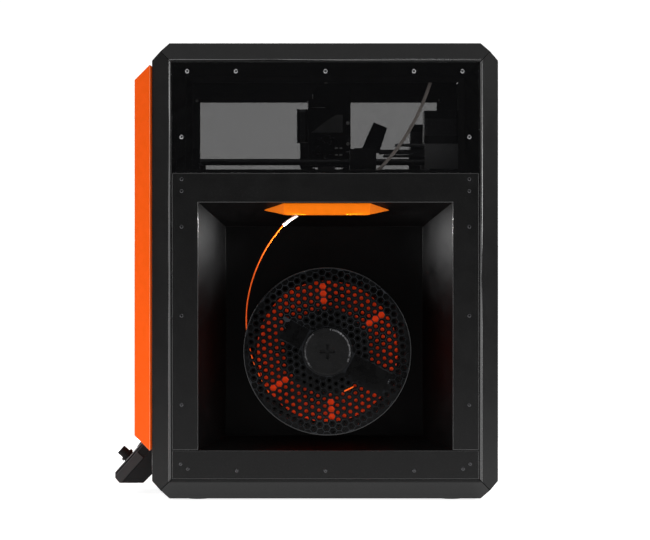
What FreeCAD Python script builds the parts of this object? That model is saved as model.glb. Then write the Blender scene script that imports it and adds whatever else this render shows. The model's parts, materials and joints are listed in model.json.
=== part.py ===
import FreeCAD, Part
import math
import os

# Enclosed desktop printer with a reel bay in its right side. Millimetres, +Z up, front towards -Y, right side +X.
# Every shape is made about the middle of the steel body; the export moves all of them by one shift, so that the
# origin is the middle of the whole machine's footprint, on the floor.

V = FreeCAD.Vector
UP = V(0, 0, 1)
BACK = V(0, 1, 0)
RIGHT = V(1, 0, 0)

# Steel body
BODY_W, BODY_D = 415.0, 420.0
FOOT_H = 2.5
BODY_TOP = 555.0
BEVEL = 21.3
SHEET = 2.0
FLANGE, LEDGE = 3.0, 20.0
FIT = 0.7
SEAM = 1.0
HALF_W, HALF_D = BODY_W / 2, BODY_D / 2
PANEL_Y = HALF_D - BEVEL - FLANGE - FIT
PANEL_X = HALF_W - BEVEL - FLANGE - FIT
PANEL_LOW = FOOT_H + BEVEL + FLANGE + FIT
PANEL_HIGH = BODY_TOP - BEVEL - FLANGE - FIT
INNER_X = HALF_W - 2 * SHEET
INNER_Y = HALF_D - 2 * SHEET

# Side window and the seam heights of the side
STRIP_TOP = 62.0
WINDOW_LOW = 397.2
OPENING_Y, OPENING_LOW, OPENING_HIGH = 160.0, 400.5, 506.0
RIVET_ROW = [-166.8, -108.0, 0.0, 106.7, 165.2]
RIVET_ROW_Z, RIVET_SIDE_Y, RIVET_SIDE_Z = 519.5, 173.6, 440.2
RIVET_R, RIVET_H = 3.0, 1.6

# Reel bay, let into the right side
BAY_DEPTH, BAY_SHEET, BAY_RIM = 62.0, 1.5, 11.0
MOUTH_Y, MOUTH_LOW, MOUTH_HIGH = 153.5, 62.4, 361.3
BACK_Y, BACK_LOW, BACK_HIGH = 121.0, 76.5, 333.2
BAY_BACK = HALF_W - BAY_DEPTH
BAY_FRONT = HALF_W - SHEET

# Reel of filament and its holder
REEL_Y, REEL_Z = 2.1, 181.8
REEL_R, REEL_BACK, REEL_FRONT = 101.0, 150.5, 216.5
FLANGE_T, CORE_R, BORE_R, WINDING_R = 3.5, 50.0, 27.0, 84.8
RUNNING = 0.08
CAP_R, CAP_T = 28.5, 5.5

# Front shell, door and display
BEZEL_X, BEZEL_LOW, BEZEL_HIGH = 186.0, 60.5, 529.0
BEZEL_RIM_Y, BEZEL_FRONT_Y, BEZEL_SLOPE, BEZEL_RETURN = -212.6, -232.0, 17.5, 2.2
DOOR_HOLE_X, DOOR_HOLE_LOW, DOOR_HOLE_HIGH = 154.0, 97.0, 493.0
DOOR_GAP, DOOR_T, DOOR_BORDER = 4.0, 8.0, 24.0
DOOR_AXIS_X, DOOR_AXIS_Y = -148.5, -227.5
PIVOT_R, PIVOT_LENGTH = 1.5, 9.0
DISPLAY_X0, DISPLAY_X1 = -70.0, 100.0
DISPLAY_OUTLINE = [
    (-210.0, 58.8), (-216.0, 58.8), (-225.5, 65.8), (-259.3, 28.2), (-259.3, 20.9),
    (-253.8, 14.6), (-224.1, 14.6), (-210.0, 28.7),
]
SCREEN_T = 2.0
KNOB_X, KNOB_Y, KNOB_Z = 82.0, -242.7, 46.7
KNOB_LIFT, KNOB_SKIRT_R, KNOB_SKIRT_H, KNOB_R, KNOB_H = 1.3, 9.0, 3.6, 6.25, 8.8
STEM_R = 3.0

# Motion system: rods and belts run level near the top, the bed on upright rods and screws
ROD_R, ROD_X, ROD_Z = 4.0, 177.0, 411.0
ROD_FRONT, ROD_BACK = -196.0, 178.0
HOLE_CLEAR = 0.05
BLOCK_X0, BLOCK_X1, BLOCK_Y0, BLOCK_Y1, BLOCK_Z0, BLOCK_Z1 = 163.0, 191.0, 30.0, 62.0, 402.5, 426.5
BEAM_Y0, BEAM_Z0, BEAM_Z1 = 44.0, 400.0, 418.0
RAIL_T, RAIL_Z0, RAIL_Z1 = 7.0, 407.0, 416.0
BELT_T, BELT_H, BELT_UPPER, BELT_LOWER = 1.4, 6.0, 420.5, 408.0
CROSS_BELTS_Y = [48.0, 54.0]
MOTOR_SIDE, MOTOR_H, MOTOR_BOSS_R = 42.3, 40.0, 11.0
BELT_MOTOR_X, BELT_MOTOR_Y, BELT_PLATE_Z = 163.0, 142.0, 431.0
PLATE_T = 2.3
PULLEY_R = 6.37
FLOOR_TOP, FLOOR_T = 60.0, 1.5
SCREW_XS = [-165.0, 127.0]
BED_Y, ROD_SPREAD = -57.0, 75.0
BRIDGE_Z0, BRIDGE_Z1 = 366.0, 372.0
BED_TOP, BED_X0, BED_X1, BED_HALF_Y = 330.0, -137.0, 113.0, 110.0

# Print head, about its own middle plane
HEAD_X, HEAD_HALF = -12.0, 25.0
NOZZLE_Z = 396.0
HEAD_AXIS_Y = 5.0
COVER_Y0, COVER_Y1, COVER_LOW, COVER_TOP = -17.3, 27.0, 412.0, 518.0
COVER_T = 2.0

# Fans and mains inlet
FAN_X, FAN_Z, FAN_SIDE, FAN_T, FAN_BORE_R = 0.0, 440.0, 80.0, 15.0, 38.0
INLET_X0, INLET_X1, INLET_LOW, INLET_HIGH = -150.0, -94.0, 30.0, 57.0

# Feed tube (4 mm) and filament (1.75 mm)
TUBE_D, FILAMENT_D = 4.0, 1.75
ARC_SHARE = 0.45
STRAND_X = 183.0
STRAND_ROUTE = [
    (STRAND_X, -51.0, 334.1), (STRAND_X, -65.8, 316.0), (STRAND_X, -79.3, 292.0), (STRAND_X, -90.0, 263.5),
    (STRAND_X, -95.6, 233.0), (STRAND_X, -95.4, 203.5), (STRAND_X, -89.2, 174.0), (STRAND_X, -78.9, 149.5),
    (STRAND_X, -67.9, 131.0),
]
STUB_ROUTE = [(STRAND_X, -33.2, 346.3), (STRAND_X, -42.0, 341.2), (STRAND_X, -51.0, 334.1)]
WALL_ROUTE = [
    (191.0, -5.0, 370.0), (192.5, 18.0, 371.5), (196.0, 42.0, 382.0), (198.0, 66.0, 401.5), (198.0, 88.0, 427.0),
    (198.0, 106.5, 456.0), (197.5, 121.0, 488.0), (192.0, 131.0, 518.0), (176.0, 126.0, 538.0),
    (150.0, 106.0, 544.0),
]
LOOP_ROUTE = [
    (146.0, 103.0, 544.6), (114.0, 80.0, 546.0), (78.0, 57.0, 546.5), (42.0, 36.0, 545.0), (12.0, 19.0, 540.5),
    (-7.0, 8.0, 532.5), (HEAD_X, HEAD_AXIS_Y, 519.8),
]


# ---- plain helpers ----

def box(x0, y0, z0, x1, y1, z1):
    return Part.makeBox(x1 - x0, y1 - y0, z1 - z0, V(x0, y0, z0))


def rod(x, y, z, axis, radius, length):
    return Part.makeCylinder(radius, length, V(x, y, z), axis)


def prism(axis, low, high, outline):
    """A flat outline pushed along one axis: (y, z) pairs along x, (x, z) along y, (x, y) along z."""
    corner = {
        "x": lambda a, b: V(low, a, b),
        "y": lambda a, b: V(a, low, b),
        "z": lambda a, b: V(a, b, low),
    }[axis]
    run = {"x": RIGHT, "y": BACK, "z": UP}[axis] * (high - low)
    points = [corner(a, b) for a, b in outline]
    return Part.Face(Part.makePolygon(points + points[:1])).extrude(run)


def fuse(shapes):
    return shapes[0].multiFuse(shapes[1:]).removeSplitter()


def cut(shape, tools):
    return shape.cut(Part.makeCompound(tools))


def group(shapes):
    return Part.makeCompound(shapes)


def mirrored(shape):
    """The same piece on the machine's left side."""
    return shape.mirror(V(0, 0, 0), RIGHT)


def rectangle(x, y0, z0, y1, z1):
    points = [V(x, y0, z0), V(x, y1, z0), V(x, y1, z1), V(x, y0, z1)]
    return Part.makePolygon(points + points[:1])


def tube(route, diameter, name):
    """A round cord of straight runs joined by tangent arcs. Prints its radii and how true its volume is."""
    points = [V(*p) for p in route]
    edges = []
    radii = []
    here = points[0]
    for before, corner, after in zip(points, points[1:], points[2:]):
        back = before - corner
        on = after - corner
        reach = ARC_SHARE * min(back.Length, on.Length)
        back.normalize()
        on.normalize()
        half_turn = (math.pi - back.getAngle(on)) / 2
        radius = reach / math.tan(half_turn)
        inward = back + on
        inward.normalize()
        middle = corner + inward * (radius / math.cos(half_turn) - radius)
        start = corner + back * reach
        end = corner + on * reach
        edges.append(Part.LineSegment(here, start).toShape())
        edges.append(Part.Arc(start, middle, end).toShape())
        radii.append(radius)
        here = end
    edges.append(Part.LineSegment(here, points[-1]).toShape())
    path = Part.Wire(edges)
    section = Part.Wire(Part.makeCircle(diameter / 2, points[0], points[1] - points[0]))
    solid = path.makePipeShell([section], True, False)
    ideal = math.pi * (diameter / 2) ** 2 * path.Length
    print(name, "length", round(path.Length, 1), "radii", [round(r, 1) for r in radii])
    print(name, "volume / ideal", round(solid.Volume / ideal, 4))
    return solid


# ---- steel body ----

def octagon(a0, a1, b0, b1, leg):
    """A rectangle with its corners cut off by `leg`."""
    return [
        (a0 + leg, b0), (a1 - leg, b0), (a1, b0 + leg), (a1, b1 - leg),
        (a1 - leg, b1), (a0 + leg, b1), (a0, b1 - leg), (a0, b0 + leg),
    ]


def bevelled_block(inset):
    """The body's outer form, with every edge bevelled, taken in by `inset` all round."""
    x, y, low, high = HALF_W - inset, HALF_D - inset, FOOT_H + inset, BODY_TOP - inset
    leg = BEVEL - inset * (2 - math.sqrt(2))
    side = prism("x", -x, x, octagon(-y, y, low, high, leg))
    front = prism("y", -y, y, octagon(-x, x, low, high, leg))
    plan = prism("z", low, high, octagon(-x, x, -y, y, leg))
    return side.common(front).common(plan)


def frame_shell():
    """Bevelled edge members all round, with a rebate for the panels and a ledge behind it."""
    shell = bevelled_block(0).cut(bevelled_block(2 * SHEET))
    far = HALF_W + HALF_D
    inner = BEVEL + LEDGE
    outer = BEVEL + FLANGE
    x_in, y_in, low_in, high_in = HALF_W - inner, HALF_D - inner, FOOT_H + inner, BODY_TOP - inner
    x_out, y_out, low_out, high_out = HALF_W - outer, HALF_D - outer, FOOT_H + outer, BODY_TOP - outer
    tools = [
        box(-far, -y_in, low_in, far, y_in, high_in),
        box(-x_in, -far, low_in, x_in, far, high_in),
        box(-x_in, -y_in, -far, x_in, y_in, far + BODY_TOP),
        box(-x_out, -y_out, BODY_TOP - SHEET, x_out, y_out, far + BODY_TOP),
        box(-x_out, -y_out, -far, x_out, y_out, FOOT_H + SHEET),
    ]
    for side in (-1, 1):
        x0, x1 = sorted((side * (HALF_W - SHEET), side * far))
        y0, y1 = sorted((side * (HALF_D - SHEET), side * far))
        tools.append(box(x0, -y_out, low_out, x1, y_out, high_out))
        tools.append(box(-x_out, y0, low_out, x_out, y1, high_out))
    return cut(shell, tools)


def corner_column(side_x, side_y, seam):
    """The space of one corner post, with both ends cut to the mitre, `seam` short of it."""
    reach = BEVEL + LEDGE
    x_far, x_near = side_x * (HALF_W + 1), side_x * (HALF_W - reach)
    y_far, y_near = side_y * (HALF_D + 1), side_y * (HALF_D - reach)
    x0, x1 = sorted((x_far, x_near))
    y0, y1 = sorted((y_far, y_near))
    column = box(x0, y0, FOOT_H - 1, x1, y1, BODY_TOP + 1)
    wedges = []
    for level, up in ((BODY_TOP, 1), (FOOT_H, -1)):
        outer = level + up * (1 - seam)
        inner = level - up * (reach + seam)
        beyond = level + up * 2
        wedges.append(prism("y", y0, y1, [(x_far, outer), (x_near, inner), (x_near, beyond), (x_far, beyond)]))
        wedges.append(prism("x", x0, x1, [(y_far, outer), (y_near, inner), (y_near, beyond), (y_far, beyond)]))
    return cut(column, wedges)


CORNERS = [(-1, -1), (1, -1), (1, 1), (-1, 1)]
SHELL = frame_shell()


def corner_posts():
    return group([SHELL.common(corner_column(x, y, SEAM)) for x, y in CORNERS])


def frame_ring(low, high):
    ring = cut(SHELL, [corner_column(x, y, 0) for x, y in CORNERS])
    return ring.common(box(-BODY_W, -BODY_D, low, BODY_W, BODY_D, high))


def top_frame():
    return frame_ring(BODY_TOP - 2 * (BEVEL + LEDGE), BODY_TOP + 1)


def bottom_frame():
    ring = frame_ring(FOOT_H - 1, FOOT_H + 2 * (BEVEL + LEDGE))
    return cut(ring, [box(INLET_X0 - 1, HALF_D - 30, INLET_LOW - 1, INLET_X1 + 1, HALF_D, INLET_HIGH + 1)])


def strip():
    return box(HALF_W - SHEET, -PANEL_Y, PANEL_LOW, HALF_W, PANEL_Y, STRIP_TOP)


def right_panels():
    """The panel round the bay's mouth, and the base strip below it."""
    panel = box(HALF_W - SHEET, -PANEL_Y, STRIP_TOP + FIT, HALF_W, PANEL_Y, WINDOW_LOW - FIT)
    mouth = box(HALF_W - 3, -MOUTH_Y, MOUTH_LOW - 1, HALF_W + 1, MOUTH_Y, MOUTH_HIGH)
    return group([cut(panel, [mouth]), strip()])


def left_panels():
    """Plain panel with two columns of vent slots, and its base strip."""
    panel = box(HALF_W - SHEET, -PANEL_Y, STRIP_TOP + FIT, HALF_W, PANEL_Y, WINDOW_LOW - FIT)
    slots = []
    for y in (-92.0, 52.0):
        for i in range(8):
            z = 106.0 + 9.0 * i
            slots.append(box(HALF_W - 3, y, z, HALF_W + 1, y + 40, z + 3.5))
    return group([mirrored(cut(panel, slots)), mirrored(strip())])


def side_windows():
    pane = box(HALF_W - SHEET, -PANEL_Y, WINDOW_LOW, HALF_W, PANEL_Y, PANEL_HIGH)
    return group([pane, mirrored(pane)])


def window_surrounds():
    y = HALF_D - BEVEL - LEDGE - FIT
    sheet = box(INNER_X, -y, MOUTH_HIGH + 20, BAY_FRONT, y, BODY_TOP - BEVEL - LEDGE - FIT)
    hole = box(INNER_X - 1, -OPENING_Y, OPENING_LOW, HALF_W, OPENING_Y, OPENING_HIGH)
    surround = cut(sheet, [hole])
    return group([surround, mirrored(surround)])


def window_rivets():
    """Domed rivet heads round both side windows."""
    places = [(y, RIVET_ROW_Z) for y in RIVET_ROW]
    places += [(-RIVET_SIDE_Y, RIVET_SIDE_Z), (RIVET_SIDE_Y, RIVET_SIDE_Z)]
    ball_r = (RIVET_R ** 2 + RIVET_H ** 2) / (2 * RIVET_H)
    heads = []
    for y, z in places:
        ball = Part.makeSphere(ball_r, V(HALF_W + RIVET_H - ball_r, y, z))
        dome = ball.common(box(HALF_W, y - ball_r, z - ball_r, HALF_W + 2 * ball_r, y + ball_r, z + ball_r))
        heads += [dome, mirrored(dome)]
    return group(heads)


def panel_screws():
    """Low button heads down both edges of each side panel and along the base strips."""
    column_y, column_z = 173.5, [375.0, 332.0, 224.7, 117.3]
    places = [(side * column_y, z) for side in (-1, 1) for z in column_z]
    places += [(side * 174.6, 46.0) for side in (-1, 1)] + [(side * 166.0, 40.1) for side in (-1, 1)]
    places += [(y, 37.8) for y in (-107.0, 0.0, 107.0)]
    heads = []
    for y, z in places:
        head = rod(HALF_W, y, z, RIGHT, 2.3, 0.9)
        heads += [head, mirrored(head)]
    return group(heads)


def rear_panel():
    """Back sheet with louvre slots over the exhaust fan and a cut-out for the mains inlet."""
    sheet = box(-PANEL_X, HALF_D - SHEET, PANEL_LOW, PANEL_X, HALF_D, PANEL_HIGH)
    tools = [box(INLET_X0 - FIT, HALF_D - 3, INLET_LOW - FIT, INLET_X1 + FIT, HALF_D + 1, INLET_HIGH + FIT)]
    pitch, height = 7.0, 4.0
    for i in range(-5, 6):
        middle = FAN_Z + pitch * i
        half = math.sqrt((FAN_BORE_R - 1) ** 2 - (pitch * i) ** 2) - 1
        for x0, x1 in ((-half, -1.5), (1.5, half)):
            tools.append(box(FAN_X + x0, HALF_D - 3, middle - height / 2, FAN_X + x1, HALF_D + 1,
                             middle + height / 2))
    return cut(sheet, tools)


def base_pan():
    """Bottom sheet with rows of vent slots under the electronics."""
    sheet = box(-PANEL_X, -PANEL_Y, FOOT_H, PANEL_X, PANEL_Y, FOOT_H + SHEET)
    slots = [
        box(x, y, FOOT_H - 1, x + 4, y + 60, FOOT_H + SHEET + 1)
        for y in (-150.0, 45.0) for x in [-80.0 + 12.0 * i for i in range(12)]
    ]
    return cut(sheet, slots)


def chamber_floor():
    """Deck between the heated chamber and the base bay, with a hole for each screw and rod."""
    inset = 2 * SHEET + 0.3
    deck = bevelled_block(inset).common(
        box(-BODY_W, -BODY_D, FLOOR_TOP - FLOOR_T, BODY_W, BODY_D, FLOOR_TOP)
    )
    holes = [rod(x, BED_Y, 0, UP, MOTOR_BOSS_R + 0.3, 100) for x in SCREW_XS]
    return cut(deck, holes)


def feet():
    return group([rod(x * 150.0, y * 155.0, 0, UP, 14.0, FOOT_H) for x, y in CORNERS])


# ---- reel bay and what hangs in it ----

def bay_solid(grow):
    """The tapered space of the bay, `grow` larger than its inner faces."""
    slope = BAY_FRONT - BAY_BACK
    front = rectangle(BAY_FRONT, -MOUTH_Y - grow, MOUTH_LOW - grow, MOUTH_Y + grow, MOUTH_HIGH + grow)
    step = grow / slope
    back = rectangle(
        BAY_BACK - grow,
        -BACK_Y - grow + step * (MOUTH_Y - BACK_Y), BACK_LOW - grow + step * (BACK_LOW - MOUTH_LOW),
        BACK_Y + grow - step * (MOUTH_Y - BACK_Y), BACK_HIGH + grow - step * (MOUTH_HIGH - BACK_HIGH),
    )
    return Part.makeLoft([back, front], True, True)


def bay_roof(x):
    """Height of the bay roof's inner face at x."""
    return BACK_HIGH + (x - BAY_BACK) * (MOUTH_HIGH - BACK_HIGH) / (BAY_FRONT - BAY_BACK)


def spool_bay():
    rim = box(
        BAY_FRONT - BAY_SHEET, -MOUTH_Y - BAY_RIM, MOUTH_LOW - BAY_RIM, BAY_FRONT, MOUTH_Y + BAY_RIM,
        MOUTH_HIGH + BAY_RIM
    )
    return fuse([bay_solid(BAY_SHEET), rim]).cut(bay_solid(0))


def spool_axle():
    """Hollow round holder with a foot flange on the bay's back wall."""
    foot = rod(BAY_BACK, REEL_Y, REEL_Z, RIGHT, 36.0, REEL_BACK - 1 - BAY_BACK)
    shaft = rod(BAY_BACK, REEL_Y, REEL_Z, RIGHT, BORE_R - RUNNING, REEL_FRONT + 2 - BAY_BACK)
    hollow = rod(BAY_BACK + 10, REEL_Y, REEL_Z, RIGHT, BORE_R - 5, 100)
    return fuse([foot, shaft]).cut(hollow)


def reel():
    """Two flanges and the core between them; the bore runs on the holder."""
    width = REEL_FRONT - REEL_BACK
    solid = fuse([
        rod(REEL_BACK, REEL_Y, REEL_Z, RIGHT, REEL_R, FLANGE_T),
        rod(REEL_BACK, REEL_Y, REEL_Z, RIGHT, CORE_R, width),
        rod(REEL_FRONT - FLANGE_T, REEL_Y, REEL_Z, RIGHT, REEL_R, FLANGE_T),
    ])
    return solid.cut(rod(REEL_BACK - 1, REEL_Y, REEL_Z, RIGHT, BORE_R, width + 2))


def filament_winding():
    x0, length = REEL_BACK + FLANGE_T, REEL_FRONT - REEL_BACK - 2 * FLANGE_T
    outer = rod(x0, REEL_Y, REEL_Z, RIGHT, WINDING_R, length)
    return outer.cut(rod(x0 - 1, REEL_Y, REEL_Z, RIGHT, CORE_R, length + 2))


def reel_cap():
    """Screw-on cap with a cross recess; its stub turns in the holder's end."""
    x0 = REEL_FRONT + 2 + 0.3
    disc = rod(x0, REEL_Y, REEL_Z, RIGHT, CAP_R, CAP_T)
    stub = rod(x0 - 14, REEL_Y, REEL_Z, RIGHT, BORE_R - 5 - RUNNING, 14)
    arm, width, depth = 9.0, 1.8, 2.0
    cross = [
        box(x0 + CAP_T - depth, REEL_Y - arm, REEL_Z - width, x0 + CAP_T + 1, REEL_Y + arm, REEL_Z + width),
        box(x0 + CAP_T - depth, REEL_Y - width, REEL_Z - arm, x0 + CAP_T + 1, REEL_Y + width, REEL_Z + arm),
    ]
    return cut(fuse([disc, stub]), cross)


def inlet_cover():
    """Faceted cover under the bay roof; its back follows the slope of the roof, its ends taper to points."""
    front_x = BAY_FRONT - 1
    outline = [(-56.5, 360.4), (61.0, 360.4), (78.0, 352.2), (51.5, 346.4), (-47.0, 346.4), (-74.0, 352.2)]
    body = prism("x", 165.0, front_x, outline).common(bay_solid(-0.2))
    ends = [
        prism("z", 330.0, 370.0, [(front_x + 1, 54.0), (front_x, 54.0), (front_x - 18, 80.0), (front_x + 1, 80.0)]),
        prism("z", 330.0, 370.0,
              [(front_x + 1, -50.0), (front_x, -50.0), (front_x - 18, -76.0), (front_x + 1, -76.0)]),
    ]
    return cut(body, ends)


def filament_sensor():
    """Run-out sensor that sits on the bay's roof inside the chamber; the feed tube leaves its back."""
    x0, x1, top = 168.0, 197.0, 384.0
    lift = BAY_SHEET * 1.2
    outline = [(x0, bay_roof(x0) + lift), (x1, bay_roof(x1) + lift), (x1, top), (x0, top)]
    return prism("y", -38.0, -5.0, outline)


def feed_tube():
    """White tube: a short end below the bay roof, and the run up the right wall and over towards the gantry."""
    return group([tube(STUB_ROUTE, TUBE_D, "feed tube end"), tube(WALL_ROUTE, TUBE_D, "feed tube")])


def feed_tube_loop():
    return tube(LOOP_ROUTE, TUBE_D, "feed tube loop")


def filament_strand():
    return tube(STRAND_ROUTE, FILAMENT_D, "filament strand")


# ---- front: plate, orange shell, door, display ----

def front_plate():
    sheet = box(-PANEL_X, -HALF_D, PANEL_LOW, PANEL_X, -HALF_D + SHEET, PANEL_HIGH)
    return cut(sheet, [box(-150.0, -HALF_D - 1, 96.0, 150.0, -HALF_D + 3, 494.0)])


def bezel_form(inset):
    """The front shell's form: a narrow rim that turns in to the body, then a slope in to the front face."""
    def loop(y, take):
        take += inset
        return Part.makePolygon([
            V(-BEZEL_X + take, y, BEZEL_LOW + take), V(BEZEL_X - take, y, BEZEL_LOW + take),
            V(BEZEL_X - take, y, BEZEL_HIGH - take), V(-BEZEL_X + take, y, BEZEL_HIGH - take),
            V(-BEZEL_X + take, y, BEZEL_LOW + take),
        ])
    widest = loop(BEZEL_RIM_Y, 0)
    slope = Part.makeLoft([widest, loop(BEZEL_FRONT_Y + inset, BEZEL_SLOPE)], True, True)
    rim = Part.makeLoft([loop(-HALF_D, BEZEL_RETURN), widest], True, True)
    return fuse([slope, rim])


def front_bezel():
    """Hollow front shell with the door's opening, and two steel pivot pins that the door turns on."""
    inner = bezel_form(SHEET)
    hole = box(-DOOR_HOLE_X, BEZEL_FRONT_Y - 1, DOOR_HOLE_LOW, DOOR_HOLE_X, -HALF_D, DOOR_HOLE_HIGH)
    shell = cut(bezel_form(0), [inner, hole])
    pieces = [shell]
    for edge, out in ((DOOR_HOLE_HIGH, 1), (DOOR_HOLE_LOW, -1)):
        z0, z1 = sorted((edge, edge + out * 8))
        lug = box(DOOR_AXIS_X - 4, BEZEL_FRONT_Y + SHEET, z0, DOOR_AXIS_X + 4, -HALF_D - 8, z1)
        pin_z = min(edge, edge - out * PIVOT_LENGTH)
        pin = rod(DOOR_AXIS_X, DOOR_AXIS_Y, pin_z, UP, PIVOT_R, PIVOT_LENGTH)
        pieces.append(fuse([lug, pin]))
    return group(pieces)


DOOR_X, DOOR_LOW, DOOR_HIGH = DOOR_HOLE_X - DOOR_GAP, DOOR_HOLE_LOW + 2.0, DOOR_HOLE_HIGH - 2.0
DOOR_FRONT = BEZEL_FRONT_Y + 0.5


def door_frame():
    """Door surround with a pane rebate, a finger slot near its free edge and pivot holes at its hinge side."""
    y0, y1 = DOOR_FRONT, DOOR_FRONT + DOOR_T
    body = box(-DOOR_X, y0, DOOR_LOW, DOOR_X, y1, DOOR_HIGH)
    b = DOOR_BORDER
    tools = [
        box(-DOOR_X + b, y0 - 1, DOOR_LOW + b, DOOR_X - b, y1 + 1, DOOR_HIGH - b),
        box(-DOOR_X + b - 6, y1 - 4, DOOR_LOW + b - 6, DOOR_X - b + 6, y1 + 1, DOOR_HIGH - b + 6),
        box(DOOR_X - 16, y0 - 1, 250.0, DOOR_X - 5, y1 + 1, 340.0),
    ]
    for z in (DOOR_LOW - 1, DOOR_HIGH - PIVOT_LENGTH):
        tools.append(rod(DOOR_AXIS_X, DOOR_AXIS_Y, z, UP, PIVOT_R + HOLE_CLEAR, PIVOT_LENGTH + 1))
    return cut(body, tools)


def door_pane():
    b = DOOR_BORDER - 6 + 0.2
    y1 = DOOR_FRONT + DOOR_T
    return box(-DOOR_X + b, y1 - 4, DOOR_LOW + b, DOOR_X - b, y1 - 1, DOOR_HIGH - b)


FACE_TOP, FACE_LOW = V(0, *DISPLAY_OUTLINE[2]), V(0, *DISPLAY_OUTLINE[3])
FACE_UP = (FACE_TOP - FACE_LOW).normalize()
FACE_OUT = V(0, -FACE_UP.z, FACE_UP.y)
KNOB_FOOT = V(KNOB_X, KNOB_Y, KNOB_Z)


def along_face(distance, radius, length):
    """A round solid about the knob's axis, starting `distance` off the display's sloping face."""
    return Part.makeCylinder(radius, length, KNOB_FOOT + FACE_OUT * distance, FACE_OUT)


def display_block(inset):
    """The display unit from its sloping face inwards, with that face taken in by `inset`."""
    whole = prism("x", DISPLAY_X0, DISPLAY_X1, DISPLAY_OUTLINE)
    if inset == 0:
        return whole
    slab = Part.makeBox(2 * BODY_W, 2 * BODY_W, 100)
    slab.Placement = FreeCAD.Placement(
        FACE_LOW - FACE_OUT * inset, FreeCAD.Rotation(UP, FACE_OUT)
    ).multiply(FreeCAD.Placement(V(-BODY_W, -BODY_W, 0), FreeCAD.Rotation()))
    return whole.cut(slab)


def display_housing():
    """Case behind the screen plate, hollow, with the bore that the encoder stem slides in."""
    body = display_block(SCREEN_T)
    hollow = box(DISPLAY_X0 + 4, -246.0, 18.0, KNOB_X - 14, -214.0, 34.0)
    return cut(body, [hollow, along_face(-16, STEM_R + HOLE_CLEAR, 40)])


def display_screen():
    plate = display_block(0).cut(display_block(SCREEN_T))
    return plate.cut(along_face(-10, STEM_R + HOLE_CLEAR, 40))


def encoder_stem():
    return along_face(-12, STEM_R, 12 + KNOB_LIFT + KNOB_SKIRT_H + 4)


def display_knob():
    solid = fuse([
        along_face(KNOB_LIFT, KNOB_SKIRT_R, KNOB_SKIRT_H),
        along_face(KNOB_LIFT, KNOB_R, KNOB_SKIRT_H + KNOB_H),
    ])
    return solid.cut(along_face(KNOB_LIFT - 1, STEM_R + HOLE_CLEAR, 1 + KNOB_SKIRT_H + 4.1))


def lid_frame():
    """Lift-off top cover, flush with the top frame."""
    edge_x, edge_y = PANEL_X, PANEL_Y
    plate = box(-edge_x, -edge_y, BODY_TOP - SHEET, edge_x, edge_y, BODY_TOP)
    return cut(plate, [box(-130.0, -130.0, BODY_TOP - 3, 130.0, 130.0, BODY_TOP + 1)])


def lid_pane():
    return box(-140.0, -140.0, BODY_TOP - SHEET - 3, 140.0, 140.0, BODY_TOP - SHEET)


# ---- electronics ----

def power_supply():
    return box(-135.0, 20.0, FOOT_H + SHEET, 80.0, 135.0, FOOT_H + SHEET + 30)


def mainboard_case():
    return box(-125.0, -165.0, FOOT_H + SHEET, 85.0, -82.0, FOOT_H + SHEET + 24)


def mains_inlet():
    """Socket and switch module; the flange sits on the rear panel."""
    body = box(INLET_X0, HALF_D - 24, INLET_LOW, INLET_X1, HALF_D, INLET_HIGH)
    flange = box(INLET_X0 - 4, HALF_D, INLET_LOW - 2, INLET_X1 + 4, HALF_D + 2.5, INLET_HIGH + 2)
    socket = box(-145.0, HALF_D - 16, 35.0, -121.0, HALF_D + 3, 52.0)
    well = box(-115.0, HALF_D - 9, 32.5, -99.0, HALF_D + 3, 54.0)
    blades = [box(x, HALF_D - 16, 41.0, x + 2, HALF_D - 7, 46.0) for x in (-141.0, -134.0, -127.0)]
    return fuse([cut(fuse([body, flange]), [socket, well])] + blades)


def power_rocker():
    """Rocker that tips about its middle, resting with its upper half pressed in."""
    y = HALF_D
    outline = [(y - 5, 36.0), (y - 5, 51.0), (y + 0.8, 52.6), (y + 1.6, 43.5), (y + 5.0, 35.4)]
    return prism("x", -114.5, -99.5, outline)


def exhaust_fan():
    """Square fan housing behind the rear panel, with a strutted boss that carries the rotor's pin."""
    y0, y1 = HALF_D - SHEET - FAN_T, HALF_D - SHEET
    half = FAN_SIDE / 2
    frame = box(FAN_X - half, y0, FAN_Z - half, FAN_X + half, y1, FAN_Z + half)
    bore = rod(FAN_X, y0 - 1, FAN_Z, BACK, FAN_BORE_R, FAN_T + 2)
    struts = [
        box(FAN_X - half, y0, FAN_Z - 1.5, FAN_X + half, y0 + 2.5, FAN_Z + 1.5),
        box(FAN_X - 1.5, y0, FAN_Z - half, FAN_X + 1.5, y0 + 2.5, FAN_Z + half),
    ]
    boss = rod(FAN_X, y0, FAN_Z, BACK, 15.0, 2.5)
    pin = rod(FAN_X, y0, FAN_Z, BACK, 1.5, FAN_T - 3)
    return fuse([frame.cut(bore)] + struts + [boss, pin])


def fan_rotor(tip_r, hub_r, pin_r, depth, blades):
    """Rotor about +Z from z = 0: a hub with slanted blades and a hole for its pin."""
    hub = Part.makeCylinder(hub_r, depth)
    pieces = [hub]
    for i in range(blades):
        blade = box(hub_r - 1, -0.7, 0.2, tip_r, 0.7, depth * 1.25)
        blade.rotate(V(0, 0, depth / 2), RIGHT, 38)
        blade.rotate(V(0, 0, 0), UP, 360.0 * i / blades)
        pieces.append(blade)
    slice_ = Part.makeCylinder(tip_r - 0.3, depth)
    return fuse(pieces).common(slice_).cut(rod(0, 0, -1, UP, pin_r + HOLE_CLEAR, depth + 2))


def exhaust_rotor():
    rotor = fan_rotor(FAN_BORE_R - 1.5, 15.0, 1.5, 9.0, 7)
    rotor.rotate(V(0, 0, 0), RIGHT, -90)
    rotor.translate(V(FAN_X, HALF_D - SHEET - FAN_T + 3.5, FAN_Z))
    return rotor


# ---- motion system ----

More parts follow.
